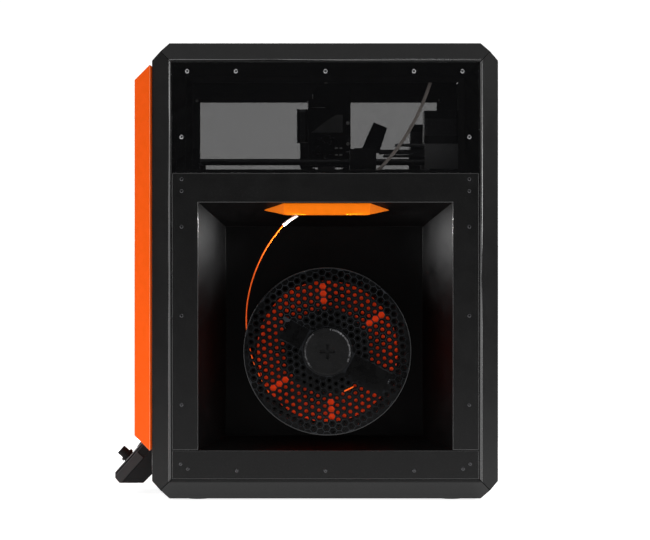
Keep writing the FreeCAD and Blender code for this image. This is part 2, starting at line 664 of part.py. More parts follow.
def guide_rods():
    level = rod(ROD_X, ROD_FRONT, ROD_Z, BACK, ROD_R, ROD_BACK - ROD_FRONT)
    upright = [
        rod(x, BED_Y + side * ROD_SPREAD, FLOOR_TOP, UP, ROD_R, BRIDGE_Z0 - FLOOR_TOP)
        for x in SCREW_XS for side in (-1, 1)
    ]
    return group([level, mirrored(level)] + upright)


def stepper(x, y, z):
    """Square motor with cut corners, its mounting face up at z + its height."""
    half, corner = MOTOR_SIDE / 2, 4.0
    body = box(x - half, y - half, z, x + half, y + half, z + MOTOR_H)
    return body.makeChamfer(corner, [e for e in body.Edges if e.tangentAt(0).isParallel(UP, 0.01)])


def stepper_motors():
    """Two belt motors above their plates and two screw motors under the chamber floor."""
    motors = [stepper(side * BELT_MOTOR_X, BELT_MOTOR_Y, BELT_PLATE_Z + PLATE_T) for side in (-1, 1)]
    motors += [stepper(x, BED_Y, FLOOR_TOP - FLOOR_T - MOTOR_H) for x in SCREW_XS]
    return group(motors)


def motor_bracket():
    """Plate under a belt motor with a forward tongue, a side wall and a block that holds the rod's end."""
    x0, x1 = BELT_MOTOR_X - MOTOR_SIDE / 2, BELT_MOTOR_X + MOTOR_SIDE / 2
    plate = box(x0, 121.0, BELT_PLATE_Z, x1, INNER_Y - 0.3, BELT_PLATE_Z + PLATE_T)
    tongue = box(x0 + 8, 86.0, BELT_PLATE_Z, x1, 121.0, BELT_PLATE_Z + PLATE_T)
    wall = box(x1 - 2, 121.0, 402.5, x1, 182.0, BELT_PLATE_Z)
    end = box(ROD_X - 8, 168.0, 402.5, x1, 182.0, BELT_PLATE_Z)
    hole = rod(ROD_X, 160.0, ROD_Z, BACK, ROD_R + HOLE_CLEAR, ROD_BACK - 160.0)
    shaft = rod(BELT_MOTOR_X, BELT_MOTOR_Y, 420.0, UP, 5.0, 20.0)
    wide = box(ROD_X - ROD_R - 0.5, 120.0, ROD_Z - ROD_R - 0.5, x1 - 2, 168.0, ROD_Z + ROD_R + 0.5)
    return cut(fuse([plate, tongue, wall, end]), [hole, shaft, wide])


def idler_bracket():
    """Front block that holds the rod's end, with a slot that an idler wheel sits in."""
    body = box(151.0, ROD_FRONT, 400.0, 187.0, -152.0, 427.0)
    slot = box(154.0, -192.0, 405.0, 171.0, -151.0, 421.0)
    hole = rod(ROD_X, ROD_FRONT - 1, ROD_Z, BACK, ROD_R + HOLE_CLEAR, 60.0)
    wheel = rod(163.0, -176.0, 405.0, UP, 6.0, 16.0)
    return [body.cut(slot).cut(hole), wheel]


def motion_brackets():
    """Rear motor brackets, front idler blocks with their wheels, and the bars that hold the upright rods."""
    pieces = [motor_bracket()] + idler_bracket()
    pieces += [mirrored(p) for p in pieces]
    for x in SCREW_XS:
        pieces.append(box(x - 9, -INNER_Y + 0.3, BRIDGE_Z0, x + 9, INNER_Y - 0.3, BRIDGE_Z1))
    return group(pieces)


def drive_belts():
    """Level belt runs on each side: a full run low down, and an upper run from the motor to the gantry."""
    low_x = BELT_MOTOR_X - PULLEY_R - BELT_T
    high_x = BELT_MOTOR_X + PULLEY_R
    low = box(low_x, -170.0, BELT_LOWER, low_x + BELT_T, 134.0, BELT_LOWER + BELT_H)
    high = box(high_x, 66.0, BELT_UPPER, high_x + BELT_T, 134.0, BELT_UPPER + BELT_H)
    return group([low, high, mirrored(low), mirrored(high)])


def belt_pulley(side):
    """Toothed wheel with two rims on a belt motor's shaft."""
    x = side * BELT_MOTOR_X
    low, high = BELT_LOWER - 2.0, BELT_UPPER + BELT_H + 1.5
    return fuse([
        rod(x, BELT_MOTOR_Y, low, UP, PULLEY_R - 1.6, high - low),
        rod(x, BELT_MOTOR_Y, low, UP, PULLEY_R + 1.0, 1.2),
        rod(x, BELT_MOTOR_Y, BELT_UPPER - 2, UP, PULLEY_R + 1.0, 1.2),
    ])


def gantry_beam():
    """Beam across the machine, slotted for the lower belt runs, with the slide rail on its front face."""
    x = BLOCK_X0
    beam = box(-x, BEAM_Y0, BEAM_Z0, x, BLOCK_Y1, BEAM_Z1)
    slot_x = BELT_MOTOR_X - PULLEY_R - BELT_T - 1
    slot = box(slot_x, BEAM_Y0 - 1, BELT_LOWER - 1, slot_x + BELT_T + 2, BLOCK_Y1 + 1, BELT_LOWER + BELT_H + 1)
    rail_x = slot_x - 3
    rail = box(-rail_x, BEAM_Y0 - RAIL_T, RAIL_Z0, rail_x, BEAM_Y0, RAIL_Z1)
    return group([cut(beam, [slot, mirrored(slot)]), rail])


def gantry_block():
    body = box(BLOCK_X0, BLOCK_Y0, BLOCK_Z0, BLOCK_X1, BLOCK_Y1, BLOCK_Z1)
    bore = rod(ROD_X, BLOCK_Y0 - 1, ROD_Z, BACK, ROD_R + HOLE_CLEAR, 60.0)
    high_x = BELT_MOTOR_X + PULLEY_R
    slot = box(high_x - 1, BLOCK_Y0 - 1, BELT_UPPER - 0.5, high_x + BELT_T + 1, BLOCK_Y1 + 1, BLOCK_Z1 + 1)
    return cut(body, [bore, slot])


def gantry_blocks():
    block = gantry_block()
    return group([block, mirrored(block)])


def gantry_belts():
    """The two belt runs over the beam."""
    reach = BLOCK_X0 - 1
    return group([
        box(-reach, y, BELT_UPPER, reach, y + BELT_T, BELT_UPPER + BELT_H) for y in CROSS_BELTS_Y
    ])


def head_carriage():
    """Block that wraps the rail, the plate that carries the head, and the arm that clamps the belts."""
    block = box(HEAD_X - 14, 30.0, 402.0, HEAD_X + 14, BEAM_Y0 - 0.4, 430.0)
    plate = box(HEAD_X - 22, COVER_Y1, 402.0, HEAD_X + 22, 30.0, COVER_TOP)
    arm = box(HEAD_X - 10, 30.0, BEAM_Z1 + 1, HEAD_X + 10, 58.0, 430.0)
    back = box(HEAD_X - 22, 30.0, 431.0, HEAD_X + 22, 36.7, COVER_TOP)
    gap = 0.4
    tools = [box(HEAD_X - 30, BEAM_Y0 - RAIL_T - 0.1, RAIL_Z0 - 0.1, HEAD_X + 30, BEAM_Y0, RAIL_Z1 + 0.1)]
    for y in CROSS_BELTS_Y:
        tools.append(box(HEAD_X - 30, y - gap, BELT_UPPER - gap, HEAD_X + 30, y + BELT_T + gap,
                         BELT_UPPER + BELT_H + gap))
    return cut(fuse([block, plate, arm, back]), tools)


def head_cover():
    """Shell over the extruder with a sloping front top, open below, and a fan mount in its right wall."""
    x0, x1 = HEAD_X - HEAD_HALF, HEAD_X + HEAD_HALF
    outline = [(COVER_Y0, COVER_LOW), (COVER_Y1, COVER_LOW), (COVER_Y1, COVER_TOP), (-2.0, COVER_TOP),
               (COVER_Y0, COVER_TOP - 20)]
    t = COVER_T
    inner = [(COVER_Y0 + t, COVER_LOW - 1), (COVER_Y1 - t, COVER_LOW - 1), (COVER_Y1 - t, COVER_TOP - t),
             (-1.0, COVER_TOP - t), (COVER_Y0 + t, COVER_TOP - 21)]
    shell = prism("x", x0, x1, outline).cut(prism("x", x0 + t, x1 - t, inner))
    fan_hole = rod(x1 - t - 1, HEAD_AXIS_Y, 434.0, RIGHT, 18.0, t + 2)
    feed_hole = rod(HEAD_X, HEAD_AXIS_Y, COVER_TOP - t - 1, UP, 3.0, t + 2)
    shell = cut(shell, [fan_hole, feed_hole])
    bar = box(x1 - t, HEAD_AXIS_Y - 19, 432.5, x1, HEAD_AXIS_Y + 19, 435.5)
    pin = rod(x1 - t - 9, HEAD_AXIS_Y, 434.0, RIGHT, 1.0, 9.5)
    pivot = rod(x1 - 0.5, 12.0, 490.5, RIGHT, 1.5, 3.9)
    return fuse([shell, bar, pin, pivot])


def head_fan():
    rotor = fan_rotor(17.0, 8.0, 1.0, 7.0, 7)
    rotor.rotate(V(0, 0, 0), BACK, 90)
    rotor.translate(V(HEAD_X + HEAD_HALF - COVER_T - 8.5, HEAD_AXIS_Y, 434.0))
    return rotor


def extruder_lever():
    """Latch on the head's right side that swings up to free the filament."""
    x0 = HEAD_X + HEAD_HALF + 0.4
    arm = box(x0, -15.5, 487.0, x0 + 3, 12.0, 494.0)
    eye = rod(x0, 12.0, 490.5, RIGHT, 3.5, 3.0)
    return fuse([arm, eye]).cut(rod(x0 - 1, 12.0, 490.5, RIGHT, 1.5 + HOLE_CLEAR, 5.0))


def extruder_motor():
    half, thick = 21.0, 14.2
    body = box(HEAD_X - half, COVER_Y0 - thick - 0.2, 443.0, HEAD_X + half, COVER_Y0 - 0.2, 485.5)
    return body.makeChamfer(3.0, [e for e in body.Edges if e.tangentAt(0).isParallel(BACK, 0.01)])


def hot_end():
    """Gear body, finned heat sink, heater block and nozzle on the filament's line."""
    gears = box(HEAD_X - 18, -12.0, 462.0, HEAD_X + 14, 24.0, 489.0)
    inlet = rod(HEAD_X, HEAD_AXIS_Y, 488.0, UP, 2.5, COVER_TOP - 488.0)
    neck = rod(HEAD_X, HEAD_AXIS_Y, 420.0, UP, 4.0, 45.0)
    fins = [rod(HEAD_X, HEAD_AXIS_Y, 428.0 + 4.0 * i, UP, 11.0, 2.0) for i in range(8)]
    block = box(HEAD_X - 8, HEAD_AXIS_Y - 10, 404.5, HEAD_X + 8, HEAD_AXIS_Y + 12, 420.0)
    tip = Part.makeCone(1.0, 4.0, 6.0, V(HEAD_X, HEAD_AXIS_Y, NOZZLE_Z))
    hexagon = rod(HEAD_X, HEAD_AXIS_Y, NOZZLE_Z + 6, UP, 4.0, 3.0)
    bolt = box(HEAD_X - 6, 24.0, 466.0, HEAD_X + 6, 25.0, 472.0)
    return fuse([gears, inlet, neck, block, tip, hexagon, bolt] + fins)


def fan_duct():
    """Hollow duct down the head's front that blows at the nozzle."""
    outline = [(-27.5, 442.0), (-27.5, 412.0), (-22.0, 401.5), (-8.0, 401.5), (-8.0, 409.5), (-17.6, 411.5),
               (-17.6, 442.0)]
    inner = [(-25.7, 443.0), (-25.7, 412.5), (-21.0, 403.3), (-7.0, 403.3), (-7.0, 407.8), (-19.4, 410.0),
             (-19.4, 443.0)]
    return prism("x", HEAD_X - 17, HEAD_X + 17, outline).cut(prism("x", HEAD_X - 15, HEAD_X + 15, inner))


def harness_arm():
    """Tilted guide that the head's wires run up, on top of the belt clamp."""
    outline = [(42.0, 430.0), (73.7, 430.0), (84.1, 461.8), (66.8, 469.1), (52.0, 436.0), (42.0, 436.0)]
    return prism("x", HEAD_X - 8, HEAD_X + 8, outline)


def bed_frame():
    """Carriage under the plate: side arms with bearing sleeves and nuts, cross bars and four standoffs."""
    low, high = BED_TOP - 42, BED_TOP - 30
    pieces = []
    for x, inner in ((SCREW_XS[0], BED_X0 + 30), (SCREW_XS[1], BED_X1 - 30)):
        x0, x1 = sorted((x, inner))
        for side in (-1, 1):
            y = BED_Y + side * ROD_SPREAD
            pieces.append(box(x0, y - 9, low, x1, y + 9, high))
            pieces.append(rod(x, y, BED_TOP - 60, UP, 8.5, 30))
        pieces.append(box(x0, BED_Y - 9, low, x1, BED_Y + 9, high))
        pieces.append(rod(x, BED_Y, BED_TOP - 54, UP, 9.0, 24))
        pieces.append(box(inner - 8, BED_Y - ROD_SPREAD - 9, low, inner + 8, BED_Y + ROD_SPREAD + 9, high))
    for side in (-1, 1):
        y = BED_Y + side * 60
        pieces.append(box(BED_X0 + 30, y - 8, low + 2, BED_X1 - 30, y + 8, high))
        for x in (BED_X0 + 34, BED_X1 - 34):
            pieces.append(rod(x, y, high, UP, 5.0, 24))
    tools = []
    for x in SCREW_XS:
        tools.append(rod(x, BED_Y, 0, UP, ROD_R + HOLE_CLEAR, BODY_TOP))
        for side in (-1, 1):
            tools.append(rod(x, BED_Y + side * ROD_SPREAD, 0, UP, ROD_R + HOLE_CLEAR, BODY_TOP))
    return cut(fuse(pieces), tools)


def bed_plate():
    """Heater plate with a removable spring-steel sheet that has a pull tab at the front."""
    heater = box(BED_X0, BED_Y - BED_HALF_Y, BED_TOP - 6, BED_X1, BED_Y + BED_HALF_Y, BED_TOP - 1)
    sheet = box(BED_X0, BED_Y - BED_HALF_Y, BED_TOP - 1, BED_X1, BED_Y + BED_HALF_Y, BED_TOP)
    middle = (BED_X0 + BED_X1) / 2
    tab = box(middle - 35, BED_Y - BED_HALF_Y - 12, BED_TOP - 1, middle + 35, BED_Y - BED_HALF_Y, BED_TOP)
    return group([heater, fuse([sheet, tab])])


def lead_screw(x):
    start = FLOOR_TOP - FLOOR_T + 0.3
    return rod(x, BED_Y, start, UP, ROD_R, BRIDGE_Z0 - 2 - start)


# ---- export ----

NODES = {
    "corner_posts": corner_posts, "top_frame": top_frame, "bottom_frame": bottom_frame,
    "right_panels": right_panels, "left_panels": left_panels, "spool_bay": spool_bay,
    "window_surrounds": window_surrounds, "side_windows": side_windows, "rear_panel": rear_panel,
    "base_pan": base_pan, "chamber_floor": chamber_floor, "front_plate": front_plate,
    "front_bezel": front_bezel, "feet": feet, "panel_screws": panel_screws, "window_rivets": window_rivets,
    "inlet_cover": inlet_cover, "filament_sensor": filament_sensor, "spool_axle": spool_axle,
    "display_housing": display_housing, "display_screen": display_screen,
    "mainboard_case": mainboard_case, "power_supply": power_supply, "mains_inlet": mains_inlet,
    "guide_rods": guide_rods, "stepper_motors": stepper_motors, "motion_brackets": motion_brackets,
    "drive_belts": drive_belts, "exhaust_fan": exhaust_fan, "feed_tube": feed_tube,
    "filament_strand": filament_strand, "door_frame": door_frame, "door_pane": door_pane,
    "lid_frame": lid_frame, "lid_pane": lid_pane, "gantry_beam": gantry_beam,
    "gantry_blocks": gantry_blocks, "gantry_belts": gantry_belts, "feed_tube_loop": feed_tube_loop,
    "head_carriage": head_carriage, "head_cover": head_cover, "extruder_motor": extruder_motor,
    "hot_end": hot_end, "fan_duct": fan_duct, "harness_arm": harness_arm, "head_fan": head_fan,
    "extruder_lever": extruder_lever, "bed_frame": bed_frame, "bed_plate": bed_plate,
    "left_lead_screw": lambda: lead_screw(SCREW_XS[0]), "right_lead_screw": lambda: lead_screw(SCREW_XS[1]),
    "reel": reel, "filament_winding": filament_winding, "reel_cap": reel_cap,
    "encoder_stem": encoder_stem, "display_knob": display_knob, "power_rocker": power_rocker,
    "exhaust_rotor": exhaust_rotor, "left_belt_pulley": lambda: belt_pulley(-1),
    "right_belt_pulley": lambda: belt_pulley(1),
}

os.makedirs("parts", exist_ok=True)
SHAPES = {name: make() for name, make in NODES.items()}
WHOLE = group(list(SHAPES.values())).BoundBox
SHIFT = V(-WHOLE.Center.x, -WHOLE.Center.y, -WHOLE.ZMin)
for name, shape in SHAPES.items():
    shape.translate(SHIFT)
    if not shape.isValid():
        print("not valid:", name)
    shape.exportStep(f"parts/{name}.step")
print(len(SHAPES), "nodes, shift", [round(v, 3) for v in SHIFT])
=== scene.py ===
import json
import random
from math import atan2, cos, degrees, pi, radians, sin, sqrt, tau

import bmesh
import bpy
from bmesh import ops
from mathutils import Matrix, Vector


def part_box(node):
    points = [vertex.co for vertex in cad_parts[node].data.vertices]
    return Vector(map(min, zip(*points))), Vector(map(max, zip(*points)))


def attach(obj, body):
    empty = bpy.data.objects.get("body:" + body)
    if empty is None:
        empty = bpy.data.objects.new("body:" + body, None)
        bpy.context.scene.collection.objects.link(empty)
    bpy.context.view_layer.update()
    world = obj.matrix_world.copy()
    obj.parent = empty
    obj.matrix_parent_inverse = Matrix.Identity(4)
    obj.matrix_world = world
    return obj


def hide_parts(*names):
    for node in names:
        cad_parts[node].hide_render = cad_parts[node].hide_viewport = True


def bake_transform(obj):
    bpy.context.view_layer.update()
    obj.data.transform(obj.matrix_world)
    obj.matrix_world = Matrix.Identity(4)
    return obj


# The looks of an enclosed desktop printer with a reel bay in its right side. Lengths are millimetres in the
# machine's own coordinates: X right, Y back, Z up, measured from the middle of the steel body, on the floor.

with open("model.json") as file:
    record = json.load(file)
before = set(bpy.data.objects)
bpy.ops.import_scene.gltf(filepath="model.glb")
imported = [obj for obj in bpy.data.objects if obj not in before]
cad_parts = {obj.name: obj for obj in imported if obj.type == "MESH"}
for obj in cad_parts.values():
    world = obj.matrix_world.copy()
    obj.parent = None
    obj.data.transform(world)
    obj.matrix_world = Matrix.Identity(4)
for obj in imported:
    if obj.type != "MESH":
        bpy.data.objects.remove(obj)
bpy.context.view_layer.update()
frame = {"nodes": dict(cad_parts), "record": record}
NODES = frame["nodes"]
BODY_OF = {node: body for body, nodes in frame["record"]["behaviour"]["bodies"].items() for node in nodes}
MM = 0.001
POST_LOW, POST_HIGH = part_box("corner_posts")
ORIGIN = Vector(((POST_LOW.x + POST_HIGH.x) / 2, (POST_LOW.y + POST_HIGH.y) / 2, 0))
DICE = random.Random(7)
RIGHT, BACK, UP = Vector((1, 0, 0)), Vector((0, 1, 0)), Vector((0, 0, 1))
FACING_RIGHT = Matrix(((0, 0, 1, 0), (1, 0, 0, 0), (0, 1, 0, 0), (0, 0, 0, 1)))

# Camera: square to the right side, a little in front of its middle
CAMERA_PLACE = (3557.5, -77.0, 282.0)
CAMERA_LENS, CAMERA_SHIFT, CAMERA_CLIP = 153.9, (0.0976, -0.0028), (0.05, 50)

# Light: strength of the surroundings as seen by the machine and by the camera, then the soft lamps, each with
# its place and size in metres and its power in watts
AMBIENT, BACKDROP, FLOOR_GLOW, FLOOR_R = 0.04, 1.1, 0.9, 1.1
LAMP_TARGET = (0, 0, 0.28)
LAMPS = [
    ("key", (1.95, -2.0, 0.5), (1.0, 1.8), 25), ("side", (1.8, 2.2, 0.5), (1.0, 1.8), 24),
    ("top", (0.9, 0, 2.2), (3.0, 2.4), 26), ("front", (-1.0, -2.2, 0.9), (1.4, 1.2), 6),
    ("rear", (-1.2, 2.2, 1.5), (1.6, 1.4), 36), ("far", (-2.4, -0.6, 1.0), (1.6, 1.4), 26),
]
BAY_LAMPS = [((0.192, 0.0, 0.338), (0.180, -0.14, 0.30)), ((0.192, 0.045, 0.338), (0.180, 0.185, 0.30))]
BAY_LAMP_SIZE, BAY_LAMP_POWER, BAY_LAMP_SPREAD = (0.02, 0.02), 0.08, 60

# Body
HALF_W, HALF_D, BODY_TOP, FOOT_H = 207.5, 210.0, 555.0, 2.5
RIVET_ROW, RIVET_ROW_Z = [-166.8, -108.0, 0.0, 106.7, 165.2], 519.5
RIVET_SIDE_Y, RIVET_SIDE_Z, RIVET_R, RIVET_H = 173.6, 440.2, 3.0, 1.6
SCREW_COLUMN_Y, SCREW_COLUMN_Z = 173.5, [375.0, 332.0, 224.7, 117.3]
SCREW_LOW = [(-174.6, 46.0), (174.6, 46.0), (-166.0, 40.1), (166.0, 40.1)]
SCREW_BOTTOM = [(-107.0, 37.8), (0.0, 37.8), (107.0, 37.8)]
SCREW_R, SCREW_H = 2.3, 0.9
PLATE_SCREW_Z, PLATE_HALF, PLATE_T = 389.3, 4.2, 0.3
FOOT_R = 14.0

# Reel and bay
REEL_Y, REEL_Z, REEL_R, REEL_BACK, REEL_FRONT = 2.1, 181.8, 101.0, 150.5, 216.5
FLANGE_T, CORE_R, BORE_R, WINDING_R = 3.5, 50.0, 27.0, 84.8
CAP_X, CAP_R, CAP_T = 218.8, 28.5, 5.5
FILAMENT_D, TUBE_D = 1.75, 4.0
STRAND_X = 183.0
STRAND_ROUTE = [(STRAND_X, y, z) for y, z in (
    (-51.0, 334.1), (-65.8, 316.0), (-79.3, 292.0), (-90.0, 263.5), (-95.6, 233.0), (-95.4, 203.5),
    (-89.2, 174.0), (-78.9, 149.5), (-67.9, 131.0),
)]
STUB_ROUTE = [(STRAND_X, y, z) for y, z in ((-33.2, 346.3), (-42.0, 341.2), (-51.0, 334.1))]
WALL_ROUTE = [
    (191.0, -5.0, 370.0), (192.5, 18.0, 371.5), (196.0, 42.0, 382.0), (198.0, 66.0, 401.5),
    (198.0, 88.0, 427.0), (198.0, 106.5, 456.0), (197.5, 121.0, 488.0), (192.0, 131.0, 518.0),
    (176.0, 126.0, 538.0), (150.0, 106.0, 544.0),
]
HEAD_X, HEAD_Y = -12.0, 5.0
LOOP_ROUTE = [
    (146.0, 103.0, 544.6), (114.0, 80.0, 546.0), (78.0, 57.0, 546.5), (42.0, 36.0, 545.0),
    (12.0, 19.0, 540.5), (-7.0, 8.0, 532.5), (HEAD_X, HEAD_Y, 519.8),
]


# ---- camera, light and stage ----

def at(x, y, z):
    """A point of the machine, in the frame's metres."""
    return Vector((x, y, z)) * MM + ORIGIN


def link(name, data):
    obj = bpy.data.objects.new(name, data)
    bpy.context.scene.collection.objects.link(obj)
    return obj


def baked(name, build):
    """The mesh of a finished build, which is freed."""
    mesh = bpy.data.meshes.new(name)
    build.to_mesh(mesh)
    build.free()
    return mesh


def area_light(name, place, target, size, power):
    lamp = bpy.data.lights.new(name, "AREA")
    lamp.shape = "RECTANGLE"
    lamp.size, lamp.size_y = size
    lamp.energy = power
    obj = link(name, lamp)
    obj.location = place
    obj.rotation_euler = (Vector(target) - Vector(place)).to_track_quat("-Z", "Y").to_euler()
    return obj


def studio():
    scene = bpy.context.scene
    scene.view_settings.view_transform = "Standard"
    lens = bpy.data.cameras.new("camera")
    lens.lens = CAMERA_LENS
    lens.shift_x, lens.shift_y = CAMERA_SHIFT
    lens.clip_start, lens.clip_end = CAMERA_CLIP
    camera = link("camera", lens)
    camera.location = at(*CAMERA_PLACE)
    camera.rotation_euler = (radians(90), 0, radians(90))
    scene.camera = camera
    world = bpy.data.worlds.new("studio")
    scene.world = world
    world.use_nodes = True
    tree = world.node_tree
    sky = tree.nodes["Background"]
    sky.inputs["Color"].default_value = (1, 1, 1, 1)
    path = tree.nodes.new("ShaderNodeLightPath")
    level = tree.nodes.new("ShaderNodeMapRange")
    level.inputs["To Min"].default_value = AMBIENT
    level.inputs["To Max"].default_value = BACKDROP
    tree.links.new(path.outputs["Is Camera Ray"], level.inputs["Value"])
    tree.links.new(level.outputs["Result"], sky.inputs["Strength"])
    for name, place, size, power in LAMPS:
        area_light(name, place, LAMP_TARGET, size, power)
    for place, target in BAY_LAMPS:
        lamp = area_light("bay", place, target, BAY_LAMP_SIZE, BAY_LAMP_POWER)
        lamp.data.spread = radians(BAY_LAMP_SPREAD)


def floor_sheet():
    """A wide pale disc under the machine."""
    build = bmesh.new()
    ops.create_circle(build, cap_ends=True, radius=FLOOR_R, segments=128)
    obj = link("floor", baked("floor", build))
    obj.data.materials.append(coating("studio_floor", (0.92, 0.92, 0.92), 0.7, 3, 0, 0.01, {
        "Emission Color": (1, 1, 1, 1), "Emission Strength": FLOOR_GLOW}))


# ---- materials ----

# The noise levels between which a coating's tone and gloss, its depth and its flecks change
TONE_LOW, TONE_HIGH, DEEP_LOW, DEEP_HIGH, FLECK_NEAR, FLECK_FAR = 0.3, 0.7, 0.36, 0.64, 0.12, 0.2
SLOW_SHARE, FLECK_SHARE, FLECK_GAIN, FLECK_LIFT = 1 / 14, 0.7, 3, 0.06


def coating(name, colour, rough, grain, bump, mottle, sockets=(), stretch=(1, 1, 1), flecks=0.0, spread=0.08,
            deepen=0.0):
    """A surface with fine relief, slow changes of tone, uneven gloss and, where asked for, small pale flecks.
    `grain` is the relief's frequency per metre and `bump` its depth in millimetres."""
    made = bpy.data.materials.new(name)
    made.use_nodes = True
    tree = made.node_tree
    shader = tree.nodes["Principled BSDF"]
    for socket, value in dict(sockets).items():
        shader.inputs[socket].default_value = value

    def node(kind, **inputs):
        n = tree.nodes.new("ShaderNode" + kind)
        for key, value in inputs.items():
            socket = n.inputs[key.replace("_", " ")]
            if isinstance(value, bpy.types.NodeSocket):
                tree.links.new(value, socket)
            else:
                socket.default_value = value
        return n

    def ramp(value, start, end, low, high):
        made = node("MapRange", Value=value, From_Min=start, From_Max=end, To_Min=low, To_Max=high)
        return made.outputs["Result"]

    place = node("TexCoord").outputs["Object"]
    grid = node("Mapping", Vector=place, Scale=stretch).outputs["Vector"]
    fine = node("TexNoise", Vector=grid, Scale=grain, Detail=3.0, Roughness=0.6).outputs["Fac"]
    slow = node("TexNoise", Vector=grid, Scale=grain * SLOW_SHARE, Detail=4.0, Roughness=0.65).outputs["Fac"]
    tone = node("ValToRGB", Fac=slow)
    low, high = tone.color_ramp.elements
    low.position, high.position = TONE_LOW, TONE_HIGH
    low.color = [c * (1 - mottle) for c in colour] + [1]
    high.color = [min(1, c * (1 + mottle)) for c in colour] + [1]
    paint = tone.outputs["Color"]
    if deepen:
        darker = node("VectorMath", Vector=paint)
        darker.operation = "SCALE"
        tree.links.new(ramp(fine, DEEP_LOW, DEEP_HIGH, 1 - deepen, 1 + deepen), darker.inputs["Scale"])
        paint = darker.outputs["Vector"]
    if flecks:
        spots = node("TexVoronoi", Vector=grid, Scale=grain * FLECK_SHARE).outputs["Distance"]
        mix = node("Mix")
        mix.data_type = "RGBA"
        tree.links.new(ramp(spots, FLECK_NEAR, FLECK_FAR, flecks, 0), mix.inputs[0])
        tree.links.new(paint, mix.inputs[6])
        mix.inputs[7].default_value = [min(1, c * FLECK_GAIN + FLECK_LIFT) for c in colour] + [1]
        paint = mix.outputs[2]
    tree.links.new(paint, shader.inputs["Base Color"])
    gloss = ramp(slow, TONE_LOW, TONE_HIGH, max(0.02, rough - spread), min(1, rough + spread))
    tree.links.new(gloss, shader.inputs["Roughness"])
    if bump:
        relief = node("Bump", Height=fine, Distance=bump * MM, Strength=1.0)
        tree.links.new(relief.outputs["Normal"], shader.inputs["Normal"])
    return made


METAL = {"Metallic": 1.0}
DULL = {"Specular IOR Level": 0.15}
SATIN = {"Specular IOR Level": 0.27}
SOFT = {"Specular IOR Level": 0.25}
COATED = {"Specular IOR Level": 0.15, "Coat Weight": 0.7, "Coat Roughness": 0.14}
GLOSSY = {"Specular IOR Level": 0.5, "Coat Weight": 1.0, "Coat Roughness": 0.12}
LOOKS = {
    "black_steel": coating("black_powder_coat", (0.002, 0.002, 0.0021), 0.42, 620, 0.1, 0.14, SATIN,
                           flecks=0.22, spread=0.03, deepen=0.45),
    "orange_shell": coating("orange_shell_paint", (0.97, 0.105, 0.002), 0.42, 1400, 0.02, 0.03, DULL),
    "orange_cover": coating("orange_cover_plastic", (0.95, 0.19, 0.0005), 0.5, 1000, 0.03, 0.04, DULL),
    "orange_filament": coating("orange_filament", (0.95, 0.048, 0.0), 0.34, 500, 0.02, 0.08, DULL),
    "reel_black": coating("reel_moulding", (0.0012, 0.0012, 0.0013), 0.3, 700, 0.03, 0.2, DULL),
    "black_plastic": coating("black_moulded_plastic", (0.0065, 0.0065, 0.007), 0.48, 1300, 0.04, 0.15,
                             DULL),
    "cap_grey": coating("cap_printed_plastic", (0.0032, 0.0032, 0.0034), 0.5, 700, 0.05, 0.25, DULL,
                        flecks=0.2),
    "screen_gloss": coating("screen_glass", (0.006, 0.007, 0.009), 0.08, 300, 0, 0.2, spread=0.02),
    "tube_white": coating("tube_white", (0.8, 0.79, 0.76), 0.34, 400, 0.02, 0.06),
    "bright_steel": coating("bright_steel", (0.42, 0.42, 0.42), 0.26, 900, 0.01, 0.12, METAL,
                            stretch=(1, 1, 0.2)),
    "screw_black": coating("blackened_screw", (0.065, 0.065, 0.068), 0.24, 1500, 0.03, 0.2, METAL),
    "motor_black": coating("motor_black", (0.009, 0.009, 0.0095), 0.4, 800, 0.03, 0.2, DULL),
    "raw_aluminium": coating("brushed_aluminium", (0.62, 0.62, 0.63), 0.34, 1600, 0.02, 0.1, METAL,
                             stretch=(0.05, 1, 1)),
    "bed_surface": coating("textured_print_sheet", (0.2, 0.15, 0.06), 0.5, 1800, 0.06, 0.25, flecks=0.3),
    "belt_rubber": coating("belt_rubber", (0.012, 0.012, 0.012), 0.7, 1200, 0.04, 0.2),
    "foot_rubber": coating("foot_rubber", (0.014, 0.014, 0.014), 0.8, 500, 0.08, 0.2),
    "smoked_acrylic": coating("smoked_acrylic", (0.004, 0.004, 0.0045), 0.06, 200, 0, 0.1,
                              {"Alpha": 0.42}, spread=0.02),
}
# Looks for the rounded edges of painted sheet: a glossier coat, and a base colour lighter than the faces'
# own, which is a painted highlight along folds and edges.
GLOSS_AND_HIGHLIGHT_EDGE_LOOKS = {
    "black_steel": coating("folded_steel_edge_painted_highlight", (0.006, 0.006, 0.0063), 0.24, 900, 0.01, 0.2, GLOSSY),
    "orange_shell": coating("folded_orange_edge_painted_highlight", (1.0, 0.3, 0.12), 0.24, 1200, 0.01, 0.03, GLOSSY),
}
STACK_LOOK = coating("motor_laminations", (0.09, 0.09, 0.095), 0.4, 1500, 0.02, 0.3, METAL,
                     stretch=(1, 1, 6))
ROD_LOOK = coating("guide_rod", (0.07, 0.07, 0.072), 0.3, 900, 0.01, 0.15, METAL, stretch=(1, 0.2, 1))
# Light grey for the black-steel rear brackets' faces that look right, toward the lamps: painted light.
BRACKET_LIT_SIDE_LOOK = coating("bracket_painted_light", (0.11, 0.11, 0.112), 0.5, 900, 0.05, 0.15, DULL)
RIVET_LOOK = coating("rivet_steel", (0.24, 0.24, 0.245), 0.2, 700, 0.02, 0.25, METAL)
# Near white, partly the fittings' own metal and partly painted highlight, for small fittings in the dark
# chamber.
TINNED_AND_HIGHLIGHT_LOOK = coating("tinned_parts_and_painted_highlights", (0.85, 0.85, 0.84), 0.3, 900, 0.01, 0.08, {"Metallic": 0.3})
# A grey much lighter than the head's black plastic, so that the plate reads as lit inside the dark chamber:
# painted light.
SIDE_PLATE_LIGHT_LOOK = coating("head_side_plate_painted_light", (0.17, 0.17, 0.172), 0.5, 900, 0.05, 0.15, DULL)
